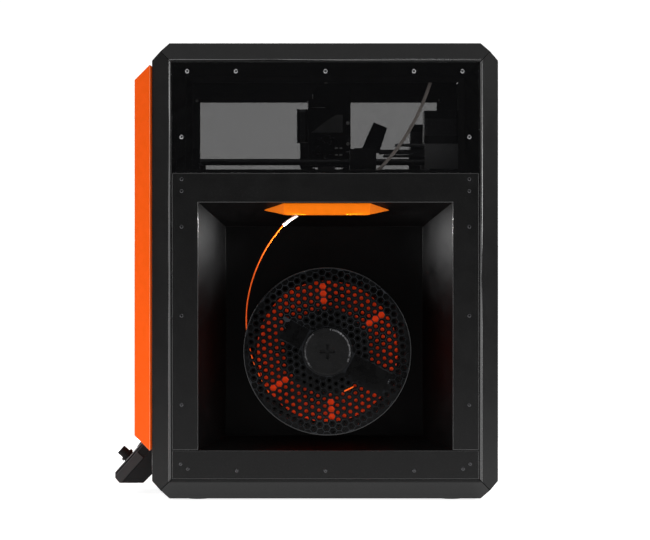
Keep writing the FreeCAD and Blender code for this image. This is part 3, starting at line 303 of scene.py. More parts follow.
# A darker copy of the white feed tube's colour for its lengths inside the chamber: painted shade.
SHADED_TUBE_LOOK = coating("feed_tube_shaded", (0.62, 0.55, 0.51), 0.4, 400, 0.02, 0.08, SOFT)
# The ribs are the reel's own black moulding, painted lighter so that they read as lit lines: painted
# highlight.
RIB_HIGHLIGHT_LOOK = coating("reel_ribs_painted_highlight", (0.013, 0.014, 0.016), 0.26, 160, 0.02, 0.75, SOFT)
RIM_LOOK = coating("reel_rim", (0.0015, 0.0015, 0.0017), 0.22, 900, 0.01, 0.3, COATED)
STRAND_LOOK = coating("orange_strand", (0.98, 0.12, 0.006), 0.36, 500, 0.02, 0.05, SOFT)
# The bay is the body's black powder coat painted darker, and its back wall darker still with a weaker
# reflection: painted shade in the recess.
BAY_SHADE_LOOK = coating("bay_painted_shade", (0.0009, 0.0009, 0.001), 0.5, 700, 0.06, 0.2, DULL, flecks=0.1)
BAY_BACK_SHADE_LOOK = coating("bay_back_painted_shade", (0.0007, 0.0007, 0.0008), 0.6, 700, 0.06, 0.2,
                        {"Specular IOR Level": 0.06}, flecks=0.05)
# A lighter grey for the cap's rubbed rim, on the arcs that face the side lamps: partly wear and partly
# painted highlight.
SCUFF_AND_HIGHLIGHT_LOOK = coating("cap_scuffed_and_highlit_edge", (0.05, 0.05, 0.052), 0.5, 420, 0.12, 0.9, DULL, flecks=0.35,
                     deepen=0.8)
PICTURE_LOOK = coating("picture_area", (0.004, 0.006, 0.012), 0.05, 300, 0, 0.3, spread=0.02)
TRAY_LOOK = coating("display_tray", (0.036, 0.036, 0.037), 0.5, 1300, 0.04, 0.12, DULL)
# A thin lighter layer between the display's frame and tray: painted highlight along that edge.
LIP_HIGHLIGHT_LOOK = coating("display_lip_painted_highlight", (0.09, 0.09, 0.095), 0.35, 1300, 0.02, 0.2, SOFT)
# Light grey for a layer that shows round the display glass: painted highlight on the glass's edge.
GLASS_EDGE_HIGHLIGHT_LOOK = coating("glass_edge_painted_highlight", (0.17, 0.175, 0.18), 0.2, 800, 0.01, 0.25)
SLOT_OF = {part["node"]: part["material_slot"] for part in frame["record"]["subparts"]}


# ---- mesh helpers; shapes are built in machine millimetres ----

CREASE = 32.0
FOLDS, RIM_FOLDS = ((CREASE, 58),), ((CREASE, 58), (78, 88))
OUTER_SKIN = 1.0
DRILL_REACH = 40.0
FLUTES, FLUTE_DEPTH = 28, 0.018


def edges_by_angle(build, sharpest):
    """Smooth shading everywhere but across corners sharper than this, in degrees."""
    build.normal_update()
    for face in build.faces:
        face.smooth = True
    for edge in build.edges:
        if len(edge.link_faces) == 2:
            edge.smooth = edge.calc_face_angle(0) < radians(sharpest)


def dress(obj, body, slot, nodes=(), look=None):
    """Gives a finished object its material, from its look or else from its slot, puts it on its body and
    hides the CAD nodes that it stands for.
    """
    obj.data.materials.clear()
    obj.data.materials.append(look or LOOKS[slot])
    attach(obj, body)
    if nodes:
        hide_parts(*nodes)
    return obj


def shaped(name, build, crease=CREASE, edge=0.0):
    """Turns a mesh in machine millimetres into an object, with sharp edges rounded to the radius `edge`."""
    ops.transform(build, matrix=Matrix.Translation(ORIGIN) @ Matrix.Scale(MM, 4), verts=build.verts)
    ops.recalc_face_normals(build, faces=build.faces)
    edges_by_angle(build, crease)
    obj = link(name, baked(name, build))
    if edge:
        round_edges(obj, edge)
    return obj


def piece(name, build, body, slot, nodes=(), look=None, crease=CREASE, edge=0.0):
    return dress(shaped(name, build, crease, edge), body, slot, nodes, look)


def stand_in(name, build, node, look=None, crease=CREASE, edge=0.0):
    """A piece with the body and slot of the CAD node that it stands for."""
    return piece(name, build, BODY_OF[node], SLOT_OF[node], [node], look, crease, edge)


def round_edges(obj, width, fold=0.0, bends=FOLDS):
    """Rounds corners. With `fold`, edges on the outside of the folded body whose angle lies in one of `bends`
    get that larger radius, and the edges inside the body stay sharp."""
    bevel = obj.modifiers.new("edges", "BEVEL")
    bevel.width = max(width, fold) * MM
    bevel.segments = 3 if fold else 2
    bevel.harden_normals = True
    bevel.limit_method = "WEIGHT" if fold else "ANGLE"
    bevel.angle_limit = radians(CREASE)
    if fold:
        build = bmesh.new()
        build.from_mesh(obj.data)
        weight = build.edges.layers.float.new("bevel_weight_edge")
        for edge in build.edges:
            angle = degrees(edge.calc_face_angle(0)) if len(edge.link_faces) == 2 else 0
            middle = ((edge.verts[0].co + edge.verts[1].co) / 2 - ORIGIN) / MM
            at_side = abs(middle.x) > HALF_W - OUTER_SKIN
            at_end = not FOOT_H + OUTER_SKIN < middle.z < BODY_TOP - OUTER_SKIN
            outside = at_side or at_end or abs(middle.y) > HALF_D - OUTER_SKIN
            in_front = middle.y < -HALF_D - OUTER_SKIN
            bend = any(low < angle < high for low, high in bends) and (at_side or in_front)
            edge[weight] = 0 if angle <= CREASE or not outside else 1 if bend else width / fold
        build.to_mesh(obj.data)
        build.free()
    return bevel


def rounded(node, width=0.4, look=None, fold=0.0, glints=True, bends=FOLDS):
    """A CAD node's own form with its flat faces made whole and its edges rounded, in place of the node. With
    `glints` the rounded edges of painted sheet get a glossier coat than its faces, and a lighter colour that
    is a painted highlight."""
    build = bmesh.new()
    build.from_mesh(NODES[node].data)
    ops.remove_doubles(build, verts=build.verts, dist=1e-6)
    ops.dissolve_limit(build, angle_limit=radians(0.5), verts=build.verts, edges=build.edges)
    edges_by_angle(build, CREASE)
    name, slot = node + "_finished", SLOT_OF[node]
    obj = link(name, baked(name, build))
    dress(obj, BODY_OF[node], slot, [node], look)
    bevel = round_edges(obj, width, fold, bends)
    # The rounded edges take the edge look: glossier, and lighter as a painted highlight.
    if glints and slot in GLOSS_AND_HIGHLIGHT_EDGE_LOOKS:
        obj.data.materials.append(GLOSS_AND_HIGHLIGHT_EDGE_LOOKS[slot])
        bevel.material = 1
    return obj


def evaluated(obj):
    """A new mesh of an object as its modifiers or its curve settings shape it."""
    return bpy.data.meshes.new_from_object(obj.evaluated_get(bpy.context.evaluated_depsgraph_get()))


def bored(build, place, axis, radius):
    """Drills a round hole right through a mesh."""
    mesh = bpy.data.meshes.new("blank")
    build.to_mesh(mesh)
    blank = link("blank", mesh)
    tool = turned(bmesh.new(), [(-DRILL_REACH, radius), (DRILL_REACH, radius)], place, axis, 40)
    ops.recalc_face_normals(tool, faces=tool.faces)
    drill = link("drill", baked("drill", tool))
    hole = blank.modifiers.new("hole", "BOOLEAN")
    hole.operation, hole.solver, hole.object = "DIFFERENCE", "EXACT", drill
    build.clear()
    build.from_mesh(evaluated(blank))
    for obj in (blank, drill):
        bpy.data.objects.remove(obj)
    return build


def hexagonal(angle):
    return cos(pi / 6) / cos(angle % (pi / 3) - pi / 6)


def fluted(angle):
    return 1 + FLUTE_DEPTH * cos(FLUTES * angle)


def skinned(build, rings, capped=True):
    """Joins rings of vertices by quads and closes both ends."""
    for low, high in zip(rings, rings[1:]):
        for k in range(len(low)):
            n = (k + 1) % len(low)
            build.faces.new((low[k], low[n], high[n], high[k]))
    if capped:
        build.faces.new(rings[0])
        build.faces.new(rings[-1])
    return build


def turned(build, profile, place, axis, segments=48):
    """A solid of revolution from (distance along the axis, radius) pairs, each with an optional change of
    radius by angle. A profile that ends where it starts makes a ring."""
    turn = Vector(axis).to_track_quat("Z", "Y").to_matrix()
    rings = []
    for along, radius, *form in profile:
        ring = []
        for k in range(segments):
            angle = tau * k / segments
            reach = radius * form[0](angle) if form else radius
            point = Vector((reach * cos(angle), reach * sin(angle), along))
            ring.append(build.verts.new(turn @ point + Vector(place)))
        rings.append(ring)
    return skinned(build, rings, profile[0] != profile[-1])


def cut_sheet(outlines, thickness, level=0.0):
    """A flat sheet with its middle at z = level: the first outline is its edge and the others are holes."""
    data = bpy.data.curves.new("sheet", "CURVE")
    data.dimensions = "2D"
    data.fill_mode = "BOTH"
    data.extrude = thickness / 2
    for outline in outlines:
        spline = data.splines.new("POLY")
        spline.points.add(len(outline) - 1)
        for point, (x, y) in zip(spline.points, outline):
            point.co = (x, y, 0, 1)
        spline.use_cyclic_u = True
    obj = link("sheet", data)
    mesh = evaluated(obj)
    build = bmesh.new()
    build.from_mesh(mesh)
    ops.remove_doubles(build, verts=build.verts, dist=1e-4)
    ops.translate(build, vec=UP * level, verts=build.verts)
    bpy.data.objects.remove(obj)
    bpy.data.meshes.remove(mesh)
    bpy.data.curves.remove(data)
    return build


def polygon(radius, sides, start=0.0, middle=(0, 0)):
    return [
        (middle[0] + radius * cos(start + tau * k / sides),
         middle[1] + radius * sin(start + tau * k / sides))
        for k in range(sides)
    ]


def joined(build, other, matrix=Matrix()):
    """Adds a mesh to another, moved by a matrix."""
    ops.transform(other, matrix=matrix, verts=other.verts)
    mesh = baked("part", other)
    build.from_mesh(mesh)
    bpy.data.meshes.remove(mesh)
    return build


def block(build, low, high):
    made = ops.create_cube(build, size=1)["verts"]
    low, high = Vector(low), Vector(high)
    ops.scale(build, vec=high - low, verts=made)
    ops.translate(build, vec=(low + high) / 2, verts=made)
    return made


def on_right(x, y=0.0, z=0.0):
    """The matrix that stands a mesh made about +Z on a place, facing right, with its y upwards."""
    return Matrix.Translation((x, y, z)) @ FACING_RIGHT


def facing(place, axis):
    """The matrix that stands a mesh made about +Z on `place` along `axis`."""
    return Matrix.Translation(place) @ Vector(axis).to_track_quat("Z", "Y").to_matrix().to_4x4()


def stacked(build, levels, outline):
    """Joins the outlines given for each (height, inset) pair into one solid."""
    return skinned(build, [[build.verts.new((x, y, z)) for x, y in outline(inset)] for z, inset in levels])


# ---- smooth lines ----

def spline_curve(name, route, diameter):
    """A smooth curve in the frame's metres with the route's points as its control points."""
    data = bpy.data.curves.new(name, "CURVE")
    data.dimensions = "3D"
    data.resolution_u = 12
    spline = data.splines.new("NURBS")
    spline.points.add(len(route) - 1)
    for point, place in zip(spline.points, route):
        point.co = [*at(*place), 1]
    spline.order_u = 3
    spline.use_endpoint_u = True
    data.bevel_depth = diameter * MM / 2
    data.bevel_resolution = 4
    data.use_fill_caps = True
    return link(name, data)


def spline_points(route):
    """Points along the route's smooth line, in the frame's metres."""
    line = spline_curve("line", route, 0)
    line.data.use_fill_caps = False
    mesh = evaluated(line)
    points = [v.co.copy() for v in mesh.vertices]
    bpy.data.objects.remove(line)
    bpy.data.meshes.remove(mesh)
    return points


def length_of(points):
    return sum((b - a).length for a, b in zip(points, points[1:]))


def cord_mesh(name, route, diameter, sides=12):
    """A mesh tube along the route's smooth line, and the points that it follows."""
    points = spline_points(route)
    build = bmesh.new()
    rings = []
    across = None
    for i, point in enumerate(points):
        ahead = (points[min(i + 1, len(points) - 1)] - points[max(i - 1, 0)]).normalized()
        across = ahead.orthogonal() if across is None else across - ahead * across.dot(ahead)
        across.normalize()
        other = ahead.cross(across)
        ring = []
        for k in range(sides):
            angle = tau * k / sides
            out = across * cos(angle) + other * sin(angle)
            ring.append(build.verts.new(point + out * diameter * MM / 2))
        rings.append(ring)
    skinned(build, rings)
    ops.recalc_face_normals(build, faces=build.faces)
    edges_by_angle(build, 50)
    return link(name, baked(name, build)), points


# ---- steel body ----

DOME = [(0, RIVET_R), (0.3, RIVET_R), (0.6, 2.8), (1.15, 2.35), (1.5, 1.75), (RIVET_H, 1.3), (1.3, 1.1),
        (1.25, 0.2)]
BUTTON = [(0, SCREW_R), (0.35, SCREW_R), (0.7, 2.0), (SCREW_H, 1.45), (SCREW_H, 1.25, hexagonal),
          (0.3, 1.15, hexagonal), (0.25, 0.1)]


def on_both_sides(profile, places, segments):
    """A turned form at each (y, z) place on both side planes."""
    build = bmesh.new()
    for side in (-1, 1):
        for y, z in places:
            turned(build, profile, (side * HALF_W, y, z), RIGHT * side, segments)
    return build


def fasteners():
    """Domed rivets round both side windows, and low button-head screws down the side panels. The uppermost
    screws stand on small square plates."""
    places = [(y, RIVET_ROW_Z) for y in RIVET_ROW] + [(side * RIVET_SIDE_Y, RIVET_SIDE_Z) for side in (-1, 1)]
    stand_in("rivet_heads", on_both_sides(DOME, places, 28), "window_rivets", RIVET_LOOK)
    places = [(side * SCREW_COLUMN_Y, z) for side in (-1, 1) for z in [PLATE_SCREW_Z] + SCREW_COLUMN_Z]
    stand_in("button_screws", on_both_sides(BUTTON, places + SCREW_LOW + SCREW_BOTTOM, 24), "panel_screws")
    build = bmesh.new()
    for side in (-1, 1):
        for y in (-SCREW_COLUMN_Y, SCREW_COLUMN_Y):
            block(build, (side * HALF_W, y - PLATE_HALF, PLATE_SCREW_Z - PLATE_HALF),
                  (side * (HALF_W + PLATE_T), y + PLATE_HALF, PLATE_SCREW_Z + PLATE_HALF))
    piece("screw_plates", build, "root", "black_steel", edge=0.15)


def feet():
    """Ribbed rubber pads."""
    low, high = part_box("feet")
    profile = [(0, FOOT_R - 1.2), (0.5, FOOT_R - 0.3), (1.2, FOOT_R), (1.6, FOOT_R - 0.5), (2.0, FOOT_R),
               (FOOT_H, FOOT_R)]
    build = bmesh.new()
    for x in (low.x + FOOT_R * MM, high.x - FOOT_R * MM):
        for y in (low.y + FOOT_R * MM, high.y - FOOT_R * MM):
            turned(build, profile, (Vector((x, y, 0)) - ORIGIN) / MM, UP, 40)
    stand_in("foot_pads", build, "feet")


# ---- reel ----

WORN_AND_LIT_ARCS = [(-20, 78), (128, 222), (335, 380)]
HEX_PITCH, HEX_TILT, HEX_REACH, WINDOW_RING = 8.72, radians(34), 13, range(7, 10)
RIM_T, HUB_T, HOLE_R, HOLE_GROWTH, HOLE_FROM, HOLE_SPAN = 1.1, 3.0, 1.9, 0.018, 50, 35
CELL_WALL, WINDOW_WALL, SMALLEST_CELL = 0.36, 0.75, 4
LABEL_TILT, LABEL_HALF, LABEL_NEAR, LABEL_FAR = radians(-28), 13.2, -57.0, 81.0
WEB_T, RIB_T, EDGE_R = 2.5, 0.9, 0.8
EDGE_TURN = [radians(18 * i) for i in range(6)]
TAIL_START, TAIL_END = Vector((REEL_FRONT + 0.9, 22.3, 134.2)), Vector((REEL_FRONT + 1.1, 33.6, 139.6))
CAP_RIBS, CAP_RIB_H, CROSS_ARM, CROSS_HALF, CROSS_DEPTH = 144, 0.35, 9.0, 1.8, 2.0
STUB_R, STUB_LENGTH, STUB_PITCH, STUB_THREADS = BORE_R - 5.2, 14.0, 2.0, 7


def direction(angle):
    return Vector((cos(angle), sin(angle)))


def clipped(points, normal, limit):
    """The part of a convex outline on the side of a line where normal . point is over the limit."""
    kept = []
    for a, b in zip(points, points[1:] + points[:1]):
        over_a, over_b = normal.dot(a) - limit, normal.dot(b) - limit
        if over_a >= 0:
            kept.append(a)
        if over_a * over_b < 0:
            kept.append(a + (b - a) * (over_a / (over_a - over_b)))
    return kept


def hex_cells():
    """Each honeycomb cell's middle about the reel's axis, and whether it is one of the large windows."""
    first, second = direction(HEX_TILT) * HEX_PITCH, direction(HEX_TILT + pi / 3) * HEX_PITCH
    for i in range(-HEX_REACH, HEX_REACH + 1):
        for j in range(-HEX_REACH, HEX_REACH + 1):
            middle = first * i + second * j
            if middle.length < REEL_R:
                yield middle, 0 in (i, j) and max(abs(i), abs(j)) in WINDOW_RING


def label_gap(point):
    """How far a point is outside the plain band that crosses the flange; negative inside it."""
    along = direction(LABEL_TILT).dot(point)
    across = abs(direction(LABEL_TILT + pi / 2).dot(point))
    return max(across - LABEL_HALF, LABEL_NEAR - along, along - LABEL_FAR)


def fitted(cell, middle):
    """A cell's outline, cut off where it meets the plain band, or none where it is all in the band."""
    along, across = direction(LABEL_TILT), direction(LABEL_TILT + pi / 2)
    lengthways, sideways, half = along.dot(middle), across.dot(middle), HEX_PITCH / sqrt(3) / 2
    if label_gap(middle) >= 2 * half:
        return cell
    if abs(sideways) > LABEL_HALF - half:
        return clipped(cell, across if sideways > 0 else -across, LABEL_HALF)
    if lengthways > LABEL_FAR - half:
        return clipped(cell, along, LABEL_FAR)
    return clipped(cell, -along, -LABEL_NEAR) if lengthways < LABEL_NEAR + half else []


def flange():
    """A honeycomb flange about its own axis: drilled web with the hub ring, ribs on it, and the rim."""
    corner, hex_turn = HEX_PITCH / sqrt(3), HEX_TILT + pi / 6
    rim, hub = REEL_R - RIM_T, BORE_R + HUB_T
    holes, pockets = [], []
    for middle, window in hex_cells():
        reach = middle.length
        if label_gap(middle) > corner * 0.5 and hub + 3 < reach < rim - 3.5:
            if window:
                holes.append(polygon(corner - WINDOW_WALL, 6, hex_turn, middle))
            else:
                radius = HOLE_R + HOLE_GROWTH * min(max(reach - HOLE_FROM, 0), HOLE_SPAN)
                holes.append(polygon(radius, 14, 0, middle))
        cell = [Vector(p) for p in polygon(corner - CELL_WALL, 6, hex_turn, middle)]
        cell = [] if reach < hub else fitted(cell, middle)
        cell = [p * (min(max(p.length, hub + 0.3), rim - 0.3) / p.length) for p in cell]
        if sum(a.x * b.y - a.y * b.x for a, b in zip(cell, cell[1:] + cell[:1])) / 2 > SMALLEST_CELL:
            pockets.append([tuple(p) for p in cell])
    band, start, turn = LABEL_HALF - 0.3, hub + 1, Matrix.Rotation(LABEL_TILT, 2)
    for near, far in ((LABEL_NEAR, -start), (start, LABEL_FAR)):
        corners = ((near, -band), (far, -band), (far, band), (near, band))
        pockets.append([tuple(turn @ Vector(p)) for p in corners])
    disc = [polygon(REEL_R - 0.6, 160), polygon(BORE_R + 0.5, 64)]
    web = cut_sheet(disc + holes, WEB_T, WEB_T / 2)
    ribs = cut_sheet(disc + pockets, RIB_T, WEB_T + RIB_T / 2)
    edge = bmesh.new()
    for build, low, high in ((edge, rim, REEL_R), (web, BORE_R, hub)):
        bend = [(FLANGE_T - EDGE_R * (1 - sin(t)), high - EDGE_R * (1 - cos(t))) for t in EDGE_TURN]
        turned(build, [(0, low), (0, high - 0.3), (0.3, high)] + bend + [(FLANGE_T - 0.3, low), (0, low)],
               (0, 0, 0), UP, 160)
    return web, ribs, edge


def reel():
    """Core and hub tubes with a flange at each end."""
    front = on_right(REEL_FRONT - FLANGE_T, REEL_Y, REEL_Z)
    back = on_right(REEL_BACK + FLANGE_T, REEL_Y, REEL_Z) @ Matrix.Scale(-1, 4, UP)
    webs, ribs, rims = bmesh.new(), bmesh.new(), bmesh.new()
    for matrix in (front, back):
        for whole, part in zip((webs, ribs, rims), flange()):
            joined(whole, part, matrix)
    start, end = FLANGE_T, REEL_FRONT - REEL_BACK - FLANGE_T
    for low, high in ((BORE_R, BORE_R + HUB_T), (CORE_R - 3, CORE_R - 0.05)):
        loop = [(start, low), (start, high), (end, high), (end, low), (start, low)]
        turned(webs, loop, (REEL_BACK, REEL_Y, REEL_Z), RIGHT, 96)
    stand_in("reel_webs", webs, "reel")
    # Ribs in the lighter painted highlight colour.
    stand_in("reel_ribs_painted_highlight", ribs, "reel", RIB_HIGHLIGHT_LOOK)
    stand_in("reel_rims", rims, "reel", RIM_LOOK)


def winding():
    """Turns of filament: rounded ridges on the outside and round both end faces."""
    start, end = REEL_BACK + FLANGE_T + 0.1, REEL_FRONT - FLANGE_T - 0.1
    depth, steps = 0.5, 4
    turns_out = round((WINDING_R - CORE_R) / FILAMENT_D)
    turns_wide = round((end - start) / FILAMENT_D)
    wobble = [DICE.uniform(0, 0.45) for _ in range(turns_wide)]

    def ridge(i):
        return depth * (1 - sin(pi * (i % steps) / steps))

    count = turns_out * steps
    radii = [CORE_R + (WINDING_R - CORE_R - 0.3) * i / count for i in range(count + 1)]
    left = [(start + ridge(i), r) for i, r in enumerate(radii)]
    right = [(end - ridge(i), r) for i, r in enumerate(radii)]
    outer = [(start + (end - start) * i / (turns_wide * steps), WINDING_R - ridge(i) - wobble[i // steps])
             for i in range(1, turns_wide * steps)]
    build = bmesh.new()
    turned(build, left + outer + right[::-1] + left[:1], (0, REEL_Y, REEL_Z), RIGHT, 96)
    stand_in("wound_filament", build, "filament_winding", crease=80)


def reel_end():
    """The filament's free end, pushed through a cell of the front flange."""
    way, thick = TAIL_END - TAIL_START, FILAMENT_D / 2
    profile = [(0, 0.4), (0.15, 0.8), (0.4, thick), (way.length - 0.2, thick), (way.length, 0.7)]
    build = turned(bmesh.new(), profile, TAIL_START, way, 14)
    piece("filament_tail", build, "reel", "orange_filament", look=STRAND_LOOK)


def cap():
    """Screw-on cap: ribbed rim, cross recess, threaded stub behind, and a scuffed ring round its face,
    lighter on arcs at its left and right: partly wear, partly painted highlight.
    """
    arm, half, middle = CROSS_ARM, CROSS_HALF, (CAP_X, REEL_Y, REEL_Z)
    quarters, corner = ((1, 0), (0, 1), (-1, 0), (0, -1)), ((arm, half), (half, half), (half, arm))
    cross = [(x * c - y * s, x * s + y * c) for c, s in quarters for x, y in corner]
    ring = [tuple(direction(tau * k / CAP_RIBS) * (CAP_R - CAP_RIB_H * (k % 2))) for k in range(CAP_RIBS)]
    build, base = bmesh.new(), CAP_T - CROSS_DEPTH
    for outlines, thick, level in (([ring, cross], CROSS_DEPTH, CAP_T - 0.1 - CROSS_DEPTH / 2),
                                   ([ring], base, base / 2)):
        joined(build, cut_sheet(outlines, thick), on_right(CAP_X + level, REEL_Y, REEL_Z))
    profile = [(i * STUB_PITCH / 2, STUB_R - 0.8 * (i % 2)) for i in range(2 * STUB_THREADS)]
    turned(build, profile + [(STUB_LENGTH, STUB_R)], (CAP_X - STUB_LENGTH, REEL_Y, REEL_Z), RIGHT, 64)
    stand_in("cap_disc", build, "reel_cap")
    near, far, lift = CAP_T - 0.9, CAP_T - 0.03, 2.4
    profile = [(near, CAP_R - 0.9), (near, CAP_R - 0.2), (CAP_T - 0.3, CAP_R - 0.1), (far, CAP_R - 0.7),
               (far, CAP_R - lift), (near, CAP_R - lift), (near, CAP_R - 0.9)]
    build = turned(bmesh.new(), profile, middle, RIGHT, 120)
    for vert in build.verts:
        if vert.co.x > CAP_X + CAP_T - 0.1:
            out = (vert.co - Vector((vert.co.x, REEL_Y, REEL_Z))).normalized()
            vert.co -= out * DICE.uniform(-0.1, 0.5) - RIGHT * DICE.uniform(-0.03, 0)
    ring = piece("cap_scuffed_and_highlit_edge", build, "reel_cap", "cap_grey", look=SCUFF_AND_HIGHLIGHT_LOOK)
    ring.data.materials.append(LOOKS["cap_grey"])
    # Faces on the left and right arcs take the lighter grey: partly wear, partly painted highlight.
    for face in ring.data.polygons:
        out = (face.center - at(*middle)).yz
        turn = degrees(atan2(out.y, out.x)) % 360
        worn_and_lit = any(start < turn + DICE.uniform(-9, 9) < end for start, end in WORN_AND_LIT_ARCS)
        face.material_index = 0 if worn_and_lit else 1


# ---- display ----

DISPLAY_X0, DISPLAY_X1 = -70.0, 100.0
DISPLAY_OUTLINE = [Vector(p) for p in (
    (-210.0, 58.8), (-216.0, 58.8), (-225.5, 65.8), (-259.3, 28.2), (-259.3, 20.9), (-253.8, 14.6),
    (-224.1, 14.6), (-210.0, 28.7),
)]
FACE_TOP, FACE_LOW = DISPLAY_OUTLINE[2:4]
FACE_UP = (FACE_TOP - FACE_LOW).normalized()
FACE_OUT = Vector((-FACE_UP.y, FACE_UP.x))
KNOB_FOOT = (82.0, -242.7, 46.7)
KNOB_AXIS = Vector((0, FACE_OUT.x, FACE_OUT.y))
TRAY_LENGTH = 37.0
GLASS, GLASS_EDGE, FRAME, LIP, TRAY, DISPLAY_DEPTH = 0.35, 1.0, 3.1, 3.6, 14.4, 90
PICTURE_X, PICTURE_UP, PICTURE_HALF, PICTURE_T, PICTURE_LIFT = DISPLAY_X0 + 66, 25, (58, 19), 0.2, 0.02
STEM_R, KNOB_LIFT, SKIRT_R, SKIRT_H, KNOB_R, KNOB_H = 3.0, 1.3, 9.0, 3.6, 6.25, 8.8


def slab(near, far, inset=0.0, length=200.0):
    """The display's form between two depths below its sloping face, `inset` narrower at each side, up to
    `length` from the low end of that face."""
    level = FACE_OUT.dot(FACE_LOW)
    outline = clipped(clipped(DISPLAY_OUTLINE, -FACE_OUT, near - level), FACE_OUT, level - far)
    outline = clipped(outline, -FACE_UP, -FACE_UP.dot(FACE_LOW) - length)
    build, sides = bmesh.new(), (DISPLAY_X0 + inset, DISPLAY_X1 - inset)
    skinned(build, [[build.verts.new((x, p.x, p.y)) for p in outline] for x in sides])
    ops.recalc_face_normals(build, faces=build.faces)
    return bored(build, KNOB_FOOT, KNOB_AXIS, STEM_R + 0.05)


def display():
    """Glass over a dark frame, a lighter tray behind it, and a slimmer body that runs in under the shell. The
    thin light layers at the glass's edge and between frame and tray are painted highlights.
    """
    stand_in("display_glass", slab(0, GLASS, 0.4), "display_screen", edge=0.15)
    # Layer behind the glass, showing at its edge as a painted highlight.
    stand_in("display_glass_edge", slab(GLASS, GLASS_EDGE), "display_screen", GLASS_EDGE_HIGHLIGHT_LOOK)
    piece("display_rim", slab(GLASS_EDGE, FRAME, 0.5), "root", "black_plastic", ["display_screen"], edge=0.3)
    # Thin lighter layer: painted highlight on the tray's edge.
    stand_in("display_lip_painted_highlight", slab(FRAME, LIP), "display_housing", LIP_HIGHLIGHT_LOOK)
    stand_in("display_tray", slab(LIP, TRAY, 0.0, TRAY_LENGTH), "display_housing", TRAY_LOOK, edge=0.5)
    stand_in("display_back", slab(LIP, TRAY, 2.0), "display_housing", edge=0.3)
    stand_in("display_body", slab(TRAY, DISPLAY_DEPTH, 1.4), "display_housing", edge=0.5)
    middle, along = Vector((PICTURE_X, *(FACE_LOW + FACE_UP * PICTURE_UP))), Vector((0, FACE_UP.x, FACE_UP.y))
    half_x, half_y = RIGHT * PICTURE_HALF[0], along * PICTURE_HALF[1]
    corners = [middle + half_x * a + half_y * b + KNOB_AXIS * PICTURE_LIFT
               for a, b in ((-1, -1), (1, -1), (1, 1), (-1, 1))]
    build = bmesh.new()
    skinned(build, [[build.verts.new(c - KNOB_AXIS * depth) for c in corners] for depth in (PICTURE_T, 0)])
    piece("display_picture_area", build, "root", "screen_gloss", look=PICTURE_LOOK)
    collar = [(0, 7.5), (1.2, 7.3), (1.4, 7.1), (1.4, STEM_R + 0.1), (0, STEM_R + 0.1), (0, 7.5)]
    piece("encoder_collar", turned(bmesh.new(), collar, KNOB_FOOT, KNOB_AXIS, 48), "root", "black_plastic")
    foot, step, top = KNOB_LIFT, KNOB_LIFT + SKIRT_H, KNOB_LIFT + SKIRT_H + KNOB_H
    profile = [(foot + 1.6, STEM_R + 0.2), (foot + 1.6, 7.9), (foot, 7.9), (foot, SKIRT_R),
               (foot + 2.5, SKIRT_R), (foot + 3.2, SKIRT_R - 0.5), (step, SKIRT_R - 1.4),
               (step + 0.2, KNOB_R, fluted), (top - 0.7, KNOB_R, fluted), (top, KNOB_R - 0.7),
               (top, KNOB_R - 1.6), (top - 0.4, KNOB_R - 1.9), (top - 0.4, 0.2)]
    stand_in("knob_cap", turned(bmesh.new(), profile, KNOB_FOOT, KNOB_AXIS, 112), "display_knob")


# ---- cords ----

def hang_cords():
    strand = spline_curve("filament_line", STRAND_ROUTE, FILAMENT_D)
    dress(strand, "root", "orange_filament", ["filament_strand"], STRAND_LOOK)
    length_of(spline_points(STRAND_ROUTE))
    stub, _ = cord_mesh("feed_tube_end", STUB_ROUTE, TUBE_D, 20)
    dress(stub, "root", "tube_white", ["feed_tube"])
    for name, route, bodies, start, end, node in (
        ("feed_tube_wall", WALL_ROUTE, ("root", "gantry"), (191, -5, 372), (152, 106, 543), "feed_tube"),
        ("feed_tube_over", LOOP_ROUTE, ("gantry", "head"), (146, 103, 544), (-8, 8, 528), "feed_tube_loop"),
    ):
        tube, points = cord_mesh(name, route, TUBE_D, 16)
        # Tube inside the chamber in the darker painted shade.
        tube.data.materials.append(SHADED_TUBE_LOOK)
        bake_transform(tube)
        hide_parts(node)


# ---- motors, screws, belts and fans ----

MOTOR_SIDE, MOTOR_H, MOTOR_CORNER, MOTOR_BELL, MOTOR_HOLES, MOTOR_HOLE_R = 42.3, 40.0, 4.0, 9.5, 15.5, 2.9
MOTOR_EDGE, CORNER_SLANT, EXTRUDER_BELL = 0.6, 0.41, 3.6
SHEET_STEPS = [(0.0, 0.35), (0.1, 0.2), (-0.2, 0.2), (-0.1, 0.35)]
BELT_MOTOR_X, BELT_MOTOR_Y, BELT_MOTOR_FOOT = 163.0, 142.0, 433.3
SCREW_XS, BED_Y, FLOOR_FACE = [-165.0, 127.0], -57.0, 58.5
THREAD_R, THREAD_TOP, THREAD_LEAD, THREAD_STARTS, THREAD_DEPTH, THREAD_STEP = 4.0, 364.0, 8.0, 4, 0.13, 0.4
PULLEY_R, PULLEY_TEETH, TOOTH_DEPTH, PULLEY_RIM_T = 6.37, 20, 0.06, 1.2
BELT_T, BELT_BACK_T, BELT_H, BELT_PITCH, BELT_UPPER, BELT_LOWER = 1.4, 0.65, 6.0, 2.0, 420.5, 408.0
BELT_TOOTH = [(1.5, BELT_BACK_T), (1.3, BELT_T), (0.7, BELT_T), (0.5, BELT_BACK_T)]
LOW_RUN, HIGH_RUN, CROSS_REACH, CROSS_BELTS_Y = (-170.0, 134.0), (66.0, 134.0), 162.0, [48.0, 54.0]
SOCKET_HEAD = [(0, 2.6), (1.6, 2.6), (1.9, 2.3), (1.9, 1.5, hexagonal), (0.6, 1.4, hexagonal), (0.5, 0.1)]
SOCKET_LEVEL, REAR_BRACKETS_FROM = 2.1, 100.0


